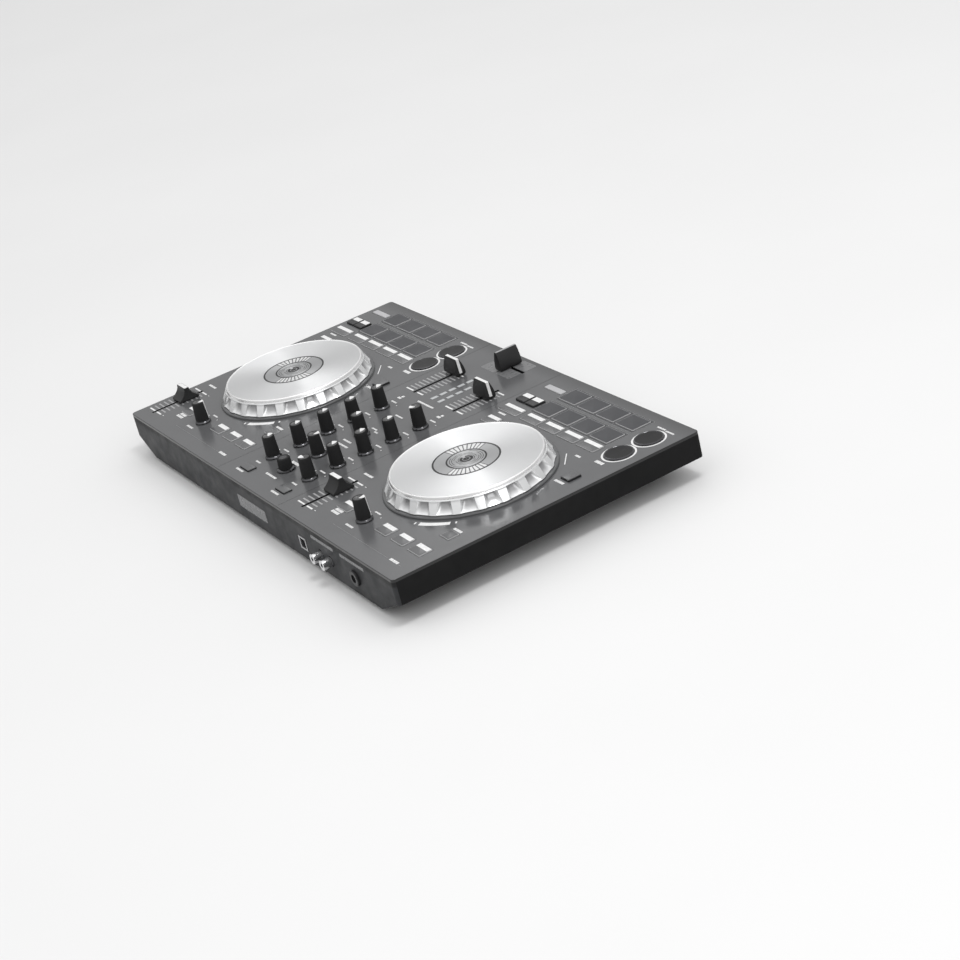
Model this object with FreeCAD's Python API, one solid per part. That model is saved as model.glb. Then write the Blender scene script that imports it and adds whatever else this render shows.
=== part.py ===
"""Two-deck controller: a flat case with two jog wheels, knobs, faders and keys on top.

Millimetres. +X to the user's right, +Y towards the rear sockets, +Z up.
The origin is on the desk, under the middle of the footprint, sockets included.
"""

import FreeCAD, Part

import math
import os

from FreeCAD import Vector

UP = Vector(0, 0, 1)

# --- case -----------------------------------------------------------------
CASE_WIDTH = 487.0
CASE_DEPTH = 271.5
PANEL_TOP = 39.0
SIDE_HEIGHT = 21.5
FOOT_HEIGHT = 4.0
JACK_REACH = 8.0
CASE_Y = -JACK_REACH / 2
CORNER_RADIUS = 3.4
PANEL_THICKNESS = 2.5
PANEL_EDGE_RADIUS = 0.8
WALL = 2.6
SEAM = 0.15
CORNER_WRAP = 12.0

PANEL_UNDERSIDE = PANEL_TOP - PANEL_THICKNESS
SIDE_BOTTOM = PANEL_TOP - SIDE_HEIGHT
REAR_Y = CASE_Y + CASE_DEPTH / 2
FRONT_Y = CASE_Y - CASE_DEPTH / 2

# the underside slopes inwards below the side walls
UNDER_STEP = 3.5
UNDER_KNEE_IN = 19.0
UNDER_KNEE_Z = 10.0
UNDER_FLAT_IN = 32.0
FRONT_FLAT_IN = 15.0

# --- inside ---------------------------------------------------------------
BOARD_TOP = 28.6
BOARD_THICKNESS = 1.6
BOARD_MARGIN = 9.0
BOARD_GAP = 0.8
BOARD_JOG_HOLE = 20.0
SWITCH_TOP = 33.4
SWITCH_SIZE = 6.0
POT_TOP = 33.6
POT_WIDTH = 9.5
POT_DEPTH = 10.5
SPINDLE_RADIUS = 2.95
SPINDLE_CLEARANCE = 0.08
BUSH_RADIUS = 3.7
BUSH_TOP = 37.7
POT_HOLE_RADIUS = 4.2

# --- keys -----------------------------------------------------------------
KEY_RISE = 0.6
RAISED_KEY_RISE = 1.6
LOAD_KEY_RISE = 1.0
PAD_RISE = 0.7
ROUND_KEY_RISE = 1.3
KEY_GAP = 0.35
KEY_WEB_TOP = 35.7
KEY_WEB_BOTTOM = 34.5
KEY_WEB_MARGIN = 1.6
KEY_CORNER = 0.8
KEY_EDGE = 0.25

# --- decks: offsets from a deck's jog centre, and heights along the panel --
DECK_PITCH = 299.0
DECKS = {"left": -DECK_PITCH / 2, "right": DECK_PITCH / 2}
JOG_Y = 12.7

FX_KEY = (17.5, 12.0)
FX_KEY_Y = 99.2
FX_KEY_OFFSETS = (-71.4, -45.9, -20.4, 41.3)
ROUTE_KEY = (12.0, 10.0, -70.8, 73.5)
SLIP_KEY = (11.5, 11.5, -72.0, -32.8)
SYNC_KEY = (17.5, 11.0, 72.6, -51.0)
MODE_KEY = (23.0, 11.5)
MODE_KEY_Y = -71.4
MODE_KEY_FIRST = -40.6
PAD = (23.6, 18.0)
PAD_PITCH = 27.3
PAD_FIRST = -37.4
PAD_ROWS = (-89.6, -114.2)
BANK_KEY = (27.0, 11.5, 73.4, -71.4)
LOOP_KEY = (13.0, 12.0)
LOOP_KEY_Y = -89.6
LOOP_KEY_OFFSETS = (66.4, 80.8)
SHIFT_KEY = (25.0, 6.0, 73.4, -113.6)
TRANSPORT_OFFSET = -71.4
CUE_Y = -77.0
PLAY_Y = -105.0
TRANSPORT_RADIUS = 11.8
LEVEL_KNOB = (9.2, 102.0)
TEMPO_OFFSET = 75.2
TEMPO_Y = 97.6
TEMPO_TRAVEL = 45.3
TEMPO_REST = -8.6

# --- mixer: offsets from the mixer's centre line ---------------------------
MIXER_X = 1.2
KNOBS_X = -1.0
LOAD_X = 0.2
CHANNEL_OFFSET = 33.1
KNOB_ROW_FIRST = 94.9
KNOB_ROW_PITCH = 25.85
MASTER_Y = 69.2
PHONES_Y = 28.7
BROWSE_Y = 99.5
LOAD_KEY = (16.0, 8.0, 118.0)
CHANNEL_FADER_Y = -63.4
CHANNEL_TRAVEL = 40.1
CROSS_Y = -117.0
CROSS_TRAVEL = 41.0
METER_OFFSET = 5.7
METER_Y = -63.3
METER_PITCH = 8.8
METER_SEGMENTS = 5
METER_SIZE = (4.0, 6.6)

# --- jog wheels -------------------------------------------------------------
JOG_BASE_RADIUS = 69.0
JOG_BASE_TOP = 40.9
JOG_SKIRT_BOTTOM = 41.3
JOG_SKIRT_RADIUS = 67.2
JOG_PLATE_RADIUS = 61.3
JOG_TOP = 54.1
JOG_PLATE_THICKNESS = 2.4
JOG_SKIRT_WALL = 7.0
JOG_NOTCHES = 22
JOG_NOTCH_RADIUS = 9.0
JOG_NOTCH_DEPTH_LOW = 2.4
JOG_NOTCH_DEPTH_HIGH = 1.4
JOG_NOTCH_TURN = 1.6
JOG_SKIRT_LIP = 0.8
JOG_POST_RADIUS = 5.0
JOG_POST_TOP = 49.7
JOG_RUNNING_GAP = 0.06

# --- knobs and fader caps ----------------------------------------------------
KNOB_HEIGHT = 19.4
KNOB_GAP = 0.4
KNOB_FLANGE_RADIUS = 7.0
KNOB_FLANGE_HEIGHT = 2.6
KNOB_FOOT_RADIUS = 5.9
KNOB_TOP_RADIUS = 5.1
KNOB_BORE_DEPTH = 13.0
BROWSE_FLANGE_RADIUS = 7.8
BROWSE_RADIUS = 5.9
BROWSE_HEIGHT = 11.5
FADER_SLOT = 2.7
FADER_STEM = (1.7, 4.0)
FADER_STEM_BOTTOM = 30.0
FADER_CAP_GAP = 0.6
FADER_BODY_TOP = 35.6
FADER_BODY_WIDTH = 9.0
CHANNEL_CAP = (21.5, 10.0, 3.6, 15.2)
CROSS_CAP = (21.5, 10.0, 3.4, 17.0)
TEMPO_CAP = (17.5, 19.0, 4.6, 12.0)

# --- sockets and fasteners ---------------------------------------------------
RCA_X = (-121.5, -137.5)
RCA_Z = 18.4
RCA_SLEEVE_RADIUS = 4.15
RCA_BORE_RADIUS = 1.65
MIC_X = -178.0
MIC_Z = 18.4
MIC_BORE_RADIUS = 3.3
MIC_DEPTH = 15.0
USB_X = -91.0
USB_Z = 18.4
USB_OUTER = (12.0, 11.0)
USB_INNER = (8.6, 8.0)
USB_DEPTH = 14.0
PHONES_JACK_X = -214.0
PHONES_JACK_Z = 23.6
PHONES_BORE_RADIUS = 1.85
PHONES_DEPTH = 13.0
FOOT_RADIUS = 9.0
FOOT_PLACES = ((-180, -98), (180, -98), (-180, 98), (180, 98))
SCREW_RADIUS = 1.45
SCREW_HEAD_RADIUS = 2.8
SCREW_HEAD_BOTTOM = 5.8
SCREW_SEAT = 8.0
SCREW_PAD_TOP = 9.4
SCREW_PAD_RADIUS = 4.4
SCREW_TIP = 29.2
SCREW_CROSS = (3.2, 0.7, 1.2)
BOSS_RADIUS = 4.0
BOSS_BOTTOM = 9.7
BOSS_TOP = 33.2
RIB_BOTTOM = 26.0
RIB_HALF = 1.0
FRONT_SCREWS = ((-200, -116), (-50, -116), (50, -116), (208, -116))
SIDE_SCREWS = ((-208, 0), (208, 0))
REAR_SCREWS = ((-205, 118), (0, 118), (70, 118), (205, 118))
SCREW_PLACES = FRONT_SCREWS + SIDE_SCREWS + REAR_SCREWS


# --- small helpers -----------------------------------------------------------
def slab(x0, y0, z0, x1, y1, z1):
    """A box between two corners."""
    return Part.makeBox(x1 - x0, y1 - y0, z1 - z0, Vector(x0, y0, z0))


def rounded_block(cx, cy, width, depth, z0, z1, radius):
    """An upright block with rounded vertical edges."""
    block = slab(cx - width / 2, cy - depth / 2, z0, cx + width / 2, cy + depth / 2, z1)
    upright = [e for e in block.Edges if abs(e.tangentAt(e.FirstParameter).z) > 0.9]
    return block.makeFillet(radius, upright)


def rod(x, y, z0, z1, radius):
    """An upright cylinder."""
    return Part.makeCylinder(radius, z1 - z0, Vector(x, y, z0), UP)


def lathe(profile, x, y):
    """A solid of revolution about an upright axis, from (radius, height) points."""
    points = [Vector(r, 0, z) for r, z in profile]
    face = Part.Face(Part.makePolygon(points + points[:1]))
    solid = face.revolve(Vector(0, 0, 0), UP, 360)
    solid.translate(Vector(x, y, 0))
    return solid


def prism_along_y(points, y0, y1):
    """An extrusion along Y of an outline given in X and Z."""
    face = Part.Face(Part.makePolygon([Vector(x, y0, z) for x, z in points + points[:1]]))
    return face.extrude(Vector(0, y1 - y0, 0))


def prism_along_x(points, x0, x1):
    """An extrusion along X of an outline given in Y and Z."""
    face = Part.Face(Part.makePolygon([Vector(x0, y, z) for y, z in points + points[:1]]))
    return face.extrude(Vector(x1 - x0, 0, 0))


def soften_top(solid, z, size):
    """Bevel the edges that lie at height z."""
    rim = [e for e in solid.Edges
           if abs(e.BoundBox.ZMin - z) < 1e-4 and abs(e.BoundBox.ZMax - z) < 1e-4]
    return solid.makeChamfer(size, rim)


def group(solids):
    """Several separate solids kept together."""
    return Part.Compound(solids)


def write(name, shape):
    shape.exportStep("parts/" + name + ".step")


# --- places on the panel -----------------------------------------------------
def panel_y(y):
    """Height along the panel, measured from the case's middle, in the part's frame."""
    return y + CASE_Y


def deck_keys(centre):
    """Each key group of a deck: name to a list of (x, y, width, depth, rise)."""
    effects = [(centre + dx, panel_y(FX_KEY_Y), *FX_KEY, KEY_RISE) for dx in FX_KEY_OFFSETS]
    modes = [(centre + MODE_KEY_FIRST + i * PAD_PITCH, panel_y(MODE_KEY_Y), *MODE_KEY, KEY_RISE)
             for i in range(4)]
    pads = [(centre + PAD_FIRST + i * PAD_PITCH, panel_y(y), *PAD, PAD_RISE)
            for y in PAD_ROWS for i in range(4)]
    loops = [(centre + dx, panel_y(LOOP_KEY_Y), *LOOP_KEY, RAISED_KEY_RISE)
             for dx in LOOP_KEY_OFFSETS]
    singles = {}
    for name, (width, depth, dx, y), rise in (
            ("route_key", ROUTE_KEY, KEY_RISE), ("slip_key", SLIP_KEY, RAISED_KEY_RISE),
            ("sync_key", SYNC_KEY, KEY_RISE), ("bank_key", BANK_KEY, KEY_RISE),
            ("shift_key", SHIFT_KEY, KEY_RISE)):
        singles[name] = [(centre + dx, panel_y(y), width, depth, rise)]
    return {
        "effect_keys": effects + singles["route_key"],
        "pad_mode_keys": modes + singles["bank_key"],
        "performance_pads": pads,
        "loop_keys": loops,
        "slip_key": singles["slip_key"],
        "sync_key": singles["sync_key"],
        "shift_key": singles["shift_key"],
    }


def round_keys(centre):
    """Cue and play: name to (x, y)."""
    x = centre + TRANSPORT_OFFSET
    return {"cue_key": (x, panel_y(CUE_Y)), "play_key": (x, panel_y(PLAY_Y))}


def load_keys():
    """The two load keys: name to one (x, y, width, depth, rise)."""
    width, depth, y = LOAD_KEY
    return {
        "load_key_left": (LOAD_X - CHANNEL_OFFSET, panel_y(y), width, depth, LOAD_KEY_RISE),
        "load_key_right": (LOAD_X + CHANNEL_OFFSET, panel_y(y), width, depth, LOAD_KEY_RISE),
    }


def knob_places():
    """Every rotary control: name to (x, y)."""
    places = {}
    rows = ("trim", "high", "mid", "low", "filter")
    for side, offset in (("left", -CHANNEL_OFFSET), ("right", CHANNEL_OFFSET)):
        for i, row in enumerate(rows):
            y = KNOB_ROW_FIRST - i * KNOB_ROW_PITCH
            places[row + "_knob_" + side] = (KNOBS_X + offset, panel_y(y))
    places["master_level_knob"] = (KNOBS_X, panel_y(MASTER_Y))
    places["headphone_level_knob"] = (KNOBS_X, panel_y(PHONES_Y))
    places["browse_knob"] = (KNOBS_X, panel_y(BROWSE_Y))
    for side, centre in DECKS.items():
        places["effect_level_knob_" + side] = (centre + LEVEL_KNOB[0], panel_y(LEVEL_KNOB[1]))
    return places


def fader_places():
    """Every fader: name to (slot x, slot y, travel, along, cap offset from mid-travel, cap)."""
    places = {}
    for side, centre in DECKS.items():
        places["tempo_slider_" + side] = (centre + TEMPO_OFFSET, panel_y(TEMPO_Y), TEMPO_TRAVEL,
                                          "y", TEMPO_REST, TEMPO_CAP)
    rests = {"left": -9.0, "right": -19.4}
    for side, offset in (("left", -CHANNEL_OFFSET), ("right", CHANNEL_OFFSET)):
        places["channel_fader_" + side] = (MIXER_X + offset, panel_y(CHANNEL_FADER_Y),
                                           CHANNEL_TRAVEL, "y", rests[side], CHANNEL_CAP)
    places["crossfader"] = (MIXER_X, panel_y(CROSS_Y), CROSS_TRAVEL, "x", 0.0, CROSS_CAP)
    return places


def all_keys():
    """Every rectangular key as (x, y, width, depth, rise)."""
    keys = list(load_keys().values())
    for centre in DECKS.values():
        for members in deck_keys(centre).values():
            keys += members
    return keys


# --- case --------------------------------------------------------------------
def under_outline(inset):
    """Cross-section of the lower body, seen from the rear; inset shrinks it for the cavity."""
    half = CASE_WIDTH / 2
    side = half - UNDER_STEP - inset
    knee = half - UNDER_KNEE_IN - inset
    flat = half - UNDER_FLAT_IN - inset
    bottom = FOOT_HEIGHT + inset
    right = [(flat, bottom), (knee, UNDER_KNEE_Z + inset), (side, SIDE_BOTTOM)]
    return right + [(-x, z) for x, z in reversed(right)]


def front_outline(inset, top):
    """Side view of the lower body: upright at the rear, sloped under the front edge."""
    bottom = FOOT_HEIGHT + inset
    return [(REAR_Y - inset, bottom), (REAR_Y - inset, top), (FRONT_Y + UNDER_STEP + inset, top),
            (FRONT_Y + UNDER_STEP + inset, SIDE_BOTTOM), (FRONT_Y + FRONT_FLAT_IN + inset, bottom)]


def lower_body(inset):
    """The solid below the side walls, tapered in both directions."""
    across = prism_along_y(under_outline(inset), FRONT_Y, REAR_Y)
    along = prism_along_x(front_outline(inset, SIDE_BOTTOM), -CASE_WIDTH / 2, CASE_WIDTH / 2)
    return across.common(along)


def upper_body(inset, z0, z1):
    """The upright-walled solid of the case's plan."""
    return rounded_block(0, CASE_Y, CASE_WIDTH - 2 * inset, CASE_DEPTH - 2 * inset, z0, z1,
                         CORNER_RADIUS - inset)


def rear_cut_outs():
    """Holes through the rear wall for the sockets."""
    y0 = REAR_Y - 2 * WALL
    depth = 4 * WALL
    holes = [Part.makeCylinder(RCA_SLEEVE_RADIUS + 0.45, depth, Vector(x, y0, RCA_Z), Vector(0, 1, 0))
             for x in RCA_X]
    holes.append(Part.makeCylinder(5.2, depth, Vector(MIC_X, y0, MIC_Z), Vector(0, 1, 0)))
    width, height = USB_OUTER
    holes.append(slab(USB_X - width / 2 - 0.2, y0, USB_Z - height / 2 - 0.2,
                      USB_X + width / 2 + 0.2, y0 + depth, USB_Z + height / 2 + 0.2))
    return holes


def phones_cut_out():
    """Hole through the front wall for the headphone socket."""
    return Part.makeCylinder(3.6, 4 * WALL, Vector(PHONES_JACK_X, FRONT_Y - WALL, PHONES_JACK_Z),
                             Vector(0, 1, 0))


def boss_rib(x, y, half, short):
    """Web from a screw boss to the nearest wall, stopping short of the case's outside."""
    wall_x = math.copysign(CASE_WIDTH / 2 - short, x)
    wall_y = CASE_Y + math.copysign(CASE_DEPTH / 2 - short, y)
    if y:
        ends = sorted((panel_y(y), wall_y))
        return slab(x - half, ends[0], RIB_BOTTOM, x + half, ends[1], BOSS_TOP)
    ends = sorted((x, wall_x))
    return slab(ends[0], CASE_Y - half, RIB_BOTTOM, ends[1], CASE_Y + half, BOSS_TOP)


def add_bosses(shell, places):
    """Screw bosses with ribs to the nearest wall, bored from below."""
    for x, y in places:
        boss = rod(x, panel_y(y), BOSS_BOTTOM, BOSS_TOP, BOSS_RADIUS)
        shell = shell.fuse(boss).fuse(boss_rib(x, y, RIB_HALF, WALL / 2))
    for x, y in places:
        shell = shell.cut(rod(x, panel_y(y), 0, BOSS_TOP - 1.5, SCREW_RADIUS + 0.05))
    return shell


def make_side_frame():
    """A front wall and two side walls that wrap the front corners, each with its bosses."""
    band = upper_body(0, SIDE_BOTTOM, PANEL_UNDERSIDE)
    band = band.cut(upper_body(WALL, SIDE_BOTTOM - 1, PANEL_UNDERSIDE + 1))
    band = band.cut(slab(-CASE_WIDTH, REAR_Y - WALL - SEAM, 0, CASE_WIDTH, REAR_Y + 1, PANEL_TOP))
    edge = CASE_WIDTH / 2
    split = edge - CORNER_WRAP
    spans = ((-edge, -split - SEAM, SIDE_SCREWS[:1]), (-split, split, FRONT_SCREWS),
             (split + SEAM, edge, SIDE_SCREWS[1:]))
    walls = []
    for x0, x1, screws in spans:
        wall = band.common(slab(x0, FRONT_Y, 0, x1, REAR_Y, PANEL_TOP))
        walls.append(add_bosses(wall, screws).cut(phones_cut_out()).removeSplitter())
    return group(walls)


def make_rear_panel():
    """Upright plate that carries the sockets, with its own screw bosses."""
    band = slab(-CASE_WIDTH, REAR_Y - WALL, 0, CASE_WIDTH, REAR_Y, PANEL_TOP)
    plate = upper_body(0, SIDE_BOTTOM, PANEL_UNDERSIDE).common(band)
    plate = plate.fuse(lower_body(0).common(band))
    plate = add_bosses(plate, REAR_SCREWS)
    for hole in rear_cut_outs():
        plate = plate.cut(hole)
    return plate.removeSplitter()


def make_lower_case():
    """Underside tray with tapered sides and sunk screw seats."""
    tray = lower_body(0).cut(lower_body(WALL))
    tray = tray.cut(slab(-CASE_WIDTH, REAR_Y - WALL - SEAM, 0, CASE_WIDTH, REAR_Y + 1, PANEL_TOP))
    tray = tray.cut(slab(-CASE_WIDTH, FRONT_Y, SIDE_BOTTOM - SEAM, CASE_WIDTH, REAR_Y, PANEL_TOP))
    for x, y in SCREW_PLACES:
        tray = tray.fuse(rod(x, panel_y(y), FOOT_HEIGHT + 1.5, SCREW_PAD_TOP, SCREW_PAD_RADIUS))
    tray = tray.common(lower_body(0))
    for x, y in SCREW_PLACES:
        tray = tray.cut(rod(x, panel_y(y), 0, PANEL_TOP, SCREW_RADIUS + 0.2))
        tray = tray.cut(rod(x, panel_y(y), 0, SCREW_SEAT, SCREW_HEAD_RADIUS + 0.3))
    return tray.removeSplitter()


def make_case_screws():
    """Self-tapping screws from below, heads sunk in the tray."""
    screws = []
    for x, y in SCREW_PLACES:
        head = rod(x, panel_y(y), SCREW_HEAD_BOTTOM, SCREW_SEAT, SCREW_HEAD_RADIUS)
        length, width, depth = SCREW_CROSS
        cross = slab(x - length / 2, panel_y(y) - width / 2, SCREW_HEAD_BOTTOM,
                     x + length / 2, panel_y(y) + width / 2, SCREW_HEAD_BOTTOM + depth)
        head = head.cut(cross).cut(cross.rotated(Vector(x, panel_y(y), 0), UP, 90))
        screws.append(head.fuse(rod(x, panel_y(y), SCREW_SEAT, SCREW_TIP, SCREW_RADIUS)))
    return group(screws)


def make_feet():
    """Rubber feet with a rounded lower rim."""
    feet = []
    for x, y in FOOT_PLACES:
        foot = rod(x, panel_y(y), 0, FOOT_HEIGHT, FOOT_RADIUS)
        rim = [e for e in foot.Edges if abs(e.BoundBox.ZMax) < 1e-4]
        feet.append(foot.makeFillet(0.8, rim))
    return group(feet)


def panel_openings():
    """Every opening in the top panel."""
    z0 = PANEL_UNDERSIDE - 1
    z1 = PANEL_TOP + 1
    openings = [rounded_block(x, y, width + 2 * KEY_GAP, depth + 2 * KEY_GAP, z0, z1,
                              KEY_CORNER + KEY_GAP)
                for x, y, width, depth, _ in all_keys()]
    for centre in DECKS.values():
        for x, y in round_keys(centre).values():
            openings.append(rod(x, y, z0, z1, TRANSPORT_RADIUS + KEY_GAP))
        openings.append(rod(centre, panel_y(JOG_Y), z0, z1, JOG_POST_RADIUS + 4.0))
    for x, y in knob_places().values():
        openings.append(rod(x, y, z0, z1, POT_HOLE_RADIUS))
    for x, y, travel, along, _, _ in fader_places().values():
        length = travel + FADER_STEM[1] + 1.2
        size = (FADER_SLOT, length) if along == "y" else (length, FADER_SLOT)
        openings.append(rounded_block(x, y, *size, z0, z1, 0.6))
    for x, y in meter_places():
        openings.append(slab(x - METER_SIZE[0] / 2, y - METER_SIZE[1] / 2, z0,
                             x + METER_SIZE[0] / 2, y + METER_SIZE[1] / 2, z1))
    return openings


def make_top_panel():
    """Flat cover plate with a rounded rim and an opening for every control."""
    plate = upper_body(0, PANEL_UNDERSIDE, PANEL_TOP)
    rim = [e for e in plate.Edges if abs(e.BoundBox.ZMin - PANEL_TOP) < 1e-4]
    plate = plate.makeFillet(PANEL_EDGE_RADIUS, rim)
    return plate.cut(group(panel_openings()))


# --- inside ------------------------------------------------------------------
def make_main_board():
    """Circuit board that carries every control."""
    board = slab(-CASE_WIDTH / 2 + BOARD_MARGIN, FRONT_Y + BOARD_MARGIN, BOARD_TOP - BOARD_THICKNESS,
                 CASE_WIDTH / 2 - BOARD_MARGIN, REAR_Y - BOARD_MARGIN, BOARD_TOP)
    holes = [rod(centre, panel_y(JOG_Y), 0, PANEL_TOP, BOARD_JOG_HOLE) for centre in DECKS.values()]
    for x, y in SCREW_PLACES:
        holes.append(rod(x, panel_y(y), 0, PANEL_TOP, BOSS_RADIUS + BOARD_GAP))
        holes.append(boss_rib(x, y, RIB_HALF + BOARD_GAP, 0))
    return board.cut(group(holes))


def make_rotary_pots():
    """Potentiometer bodies with their bushes, one under every knob."""
    pots = []
    for x, y in knob_places().values():
        body = slab(x - POT_WIDTH / 2, y - POT_DEPTH / 2, BOARD_TOP, x + POT_WIDTH / 2,
                    y + POT_DEPTH / 2, POT_TOP)
        bush = rod(x, y, POT_TOP - 0.5, BUSH_TOP, BUSH_RADIUS)
        bore = rod(x, y, BOARD_TOP + 1.0, BUSH_TOP + 1, SPINDLE_RADIUS + SPINDLE_CLEARANCE)
        pots.append(body.fuse(bush).cut(bore).removeSplitter())
    return group(pots)


def make_fader_tracks():
    """Slide potentiometer bodies with an open groove for the stem."""
    tracks = []
    for x, y, travel, along, _, _ in fader_places().values():
        length = travel + 16.0
        groove = travel + FADER_STEM[1] + 1.2
        body = slab(x - FADER_BODY_WIDTH / 2, y - length / 2, BOARD_TOP, x + FADER_BODY_WIDTH / 2,
                    y + length / 2, FADER_BODY_TOP)
        slot = slab(x - FADER_SLOT / 2, y - groove / 2, BOARD_TOP + 1.0, x + FADER_SLOT / 2,
                    y + groove / 2, FADER_BODY_TOP + 1)
        track = body.cut(slot)
        if along == "x":
            track = track.rotated(Vector(x, y, 0), UP, 90)
        tracks.append(track)
    return group(tracks)


def make_key_switches():
    """Tact switches on the board, one under every key."""
    places = [(x, y) for x, y, _, _, _ in all_keys()]
    for centre in DECKS.values():
        places += list(round_keys(centre).values())
    switches = []
    for x, y in places:
        half = SWITCH_SIZE / 2
        body = slab(x - half, y - half, BOARD_TOP, x + half, y + half, SWITCH_TOP - 1.2)
        switches.append(body.fuse(rod(x, y, SWITCH_TOP - 1.2, SWITCH_TOP, 1.7)))
    return group(switches)


def meter_places():
    """Every level meter segment."""
    first = METER_Y + METER_PITCH * (METER_SEGMENTS - 1) / 2
    return [(MIXER_X + side * METER_OFFSET, panel_y(first - i * METER_PITCH))
            for side in (-1, 1) for i in range(METER_SEGMENTS)]


def make_meter_lenses():
    """Clear light guides of the two level meters, standing on the board."""
    lenses = []
    for x, y in meter_places():
        stem = slab(x - METER_SIZE[0] / 2 + 0.15, y - METER_SIZE[1] / 2 + 0.15, BOARD_TOP,
                    x + METER_SIZE[0] / 2 - 0.15, y + METER_SIZE[1] / 2 - 0.15, PANEL_TOP + 0.2)
        lenses.append(stem)
    return group(lenses)


# --- keys --------------------------------------------------------------------
def make_keys(members, pots=()):
    """Key caps that stand through the panel, joined by one web that passes round any pots."""
    x0 = min(x - width / 2 for x, _, width, _, _ in members) - KEY_WEB_MARGIN
    x1 = max(x + width / 2 for x, _, width, _, _ in members) + KEY_WEB_MARGIN
    rows = sorted({y for _, y, _, _, _ in members})
    strip = None
    for row in rows:
        in_row = [m for m in members if m[1] == row]
        left = min(m[0] - m[2] / 2 for m in in_row) - KEY_WEB_MARGIN
        right = max(m[0] + m[2] / 2 for m in in_row) + KEY_WEB_MARGIN
        half = max(m[3] for m in in_row) / 2 + KEY_WEB_MARGIN
        web = slab(left, row - half, KEY_WEB_BOTTOM, right, row + half, KEY_WEB_TOP)
        strip = web if strip is None else strip.fuse(web)
    if len(rows) > 1:
        link = slab(x0, rows[0], KEY_WEB_BOTTOM, x0 + 2 * KEY_WEB_MARGIN + 4, rows[-1], KEY_WEB_TOP)
        strip = strip.fuse(link)
    for x, y in pots:
        strip = strip.cut(rounded_block(x, y, POT_WIDTH + 2, POT_DEPTH + 2, KEY_WEB_BOTTOM - 1,
                                        KEY_WEB_TOP + 1, 1.0))
    for x, y, width, depth, rise in members:
        cap = rounded_block(x, y, width, depth, KEY_WEB_TOP - 0.4, PANEL_TOP + rise, KEY_CORNER)
        strip = strip.fuse(soften_top(cap, PANEL_TOP + rise, KEY_EDGE))
    return strip.removeSplitter()


def make_round_key(x, y):
    """A round transport key with a soft rim and a retaining flange."""
    top = PANEL_TOP + ROUND_KEY_RISE
    radius = TRANSPORT_RADIUS
    profile = [(0, KEY_WEB_BOTTOM), (radius + KEY_WEB_MARGIN, KEY_WEB_BOTTOM),
               (radius + KEY_WEB_MARGIN, KEY_WEB_TOP), (radius, KEY_WEB_TOP),
               (radius, top - 0.5), (radius - 0.5, top), (0, top)]
    return lathe(profile, x, y)


# --- jog wheels --------------------------------------------------------------
def make_jog_base(x, y):
    """Fixed dish on the panel, with the spindle post the wheel turns on."""
    dish = [(0, PANEL_TOP), (JOG_BASE_RADIUS, PANEL_TOP), (JOG_BASE_RADIUS, JOG_BASE_TOP - 0.6),
            (JOG_BASE_RADIUS - 0.6, JOG_BASE_TOP), (JOG_POST_RADIUS, JOG_BASE_TOP),
            (JOG_POST_RADIUS, JOG_POST_TOP), (0, JOG_POST_TOP)]
    collar = rod(x, y, PANEL_UNDERSIDE - 2.0, PANEL_TOP, JOG_POST_RADIUS + 3.8)
    flange = rod(x, y, PANEL_UNDERSIDE - 2.0, PANEL_UNDERSIDE, JOG_POST_RADIUS + 9.0)
    return lathe(dish, x, y).fuse(collar).fuse(flange).removeSplitter()


def make_jog_skirt(x, y):
    """Flared rim with a ring of finger notches."""
    top = JOG_TOP - JOG_PLATE_THICKNESS
    profile = [(JOG_SKIRT_RADIUS - JOG_SKIRT_WALL, JOG_SKIRT_BOTTOM),
               (JOG_SKIRT_RADIUS - 0.6, JOG_SKIRT_BOTTOM),
               (JOG_SKIRT_RADIUS, JOG_SKIRT_BOTTOM + 0.8),
               (JOG_PLATE_RADIUS + 0.4, top),
               (JOG_PLATE_RADIUS - JOG_SKIRT_WALL, top)]
    ring = lathe(profile, x, y)
    low = Vector(x + JOG_SKIRT_RADIUS - JOG_NOTCH_DEPTH_LOW + JOG_NOTCH_RADIUS, y, JOG_SKIRT_BOTTOM)
    high = Vector(x + JOG_PLATE_RADIUS - JOG_NOTCH_DEPTH_HIGH + JOG_NOTCH_RADIUS, y, top)
    axis = high - low
    start = low - axis * 0.5
    notch = Part.makeCylinder(JOG_NOTCH_RADIUS, axis.Length * 2, start, axis)
    notch = notch.cut(slab(x, y - 2 * JOG_NOTCH_RADIUS, top - JOG_SKIRT_LIP, x + 2 * JOG_SKIRT_RADIUS,
                           y + 2 * JOG_NOTCH_RADIUS, top + JOG_SKIRT_RADIUS))
    step = 360 / JOG_NOTCHES
    notches = [notch.rotated(Vector(x, y, 0), UP, JOG_NOTCH_TURN + i * step)
               for i in range(JOG_NOTCHES)]
    return ring.cut(group(notches))


def make_jog_plate(x, y):
    """Top plate with the hub that runs on the spindle post."""
    bore = JOG_POST_RADIUS + JOG_RUNNING_GAP
    under = JOG_TOP - JOG_PLATE_THICKNESS
    profile = [(0, JOG_POST_TOP + 0.4), (bore, JOG_POST_TOP + 0.4), (bore, JOG_SKIRT_BOTTOM),
               (bore + 4.0, JOG_SKIRT_BOTTOM), (bore + 6.0, under), (JOG_PLATE_RADIUS, under),
               (JOG_PLATE_RADIUS, JOG_TOP - 0.8), (JOG_PLATE_RADIUS - 0.8, JOG_TOP), (0, JOG_TOP)]
    return lathe(profile, x, y)


# --- knobs -------------------------------------------------------------------
def make_spindle(x, y, top):
    """Potentiometer shaft, turning with its knob."""
    return rod(x, y, BOARD_TOP + 1.4, top, SPINDLE_RADIUS)


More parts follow.
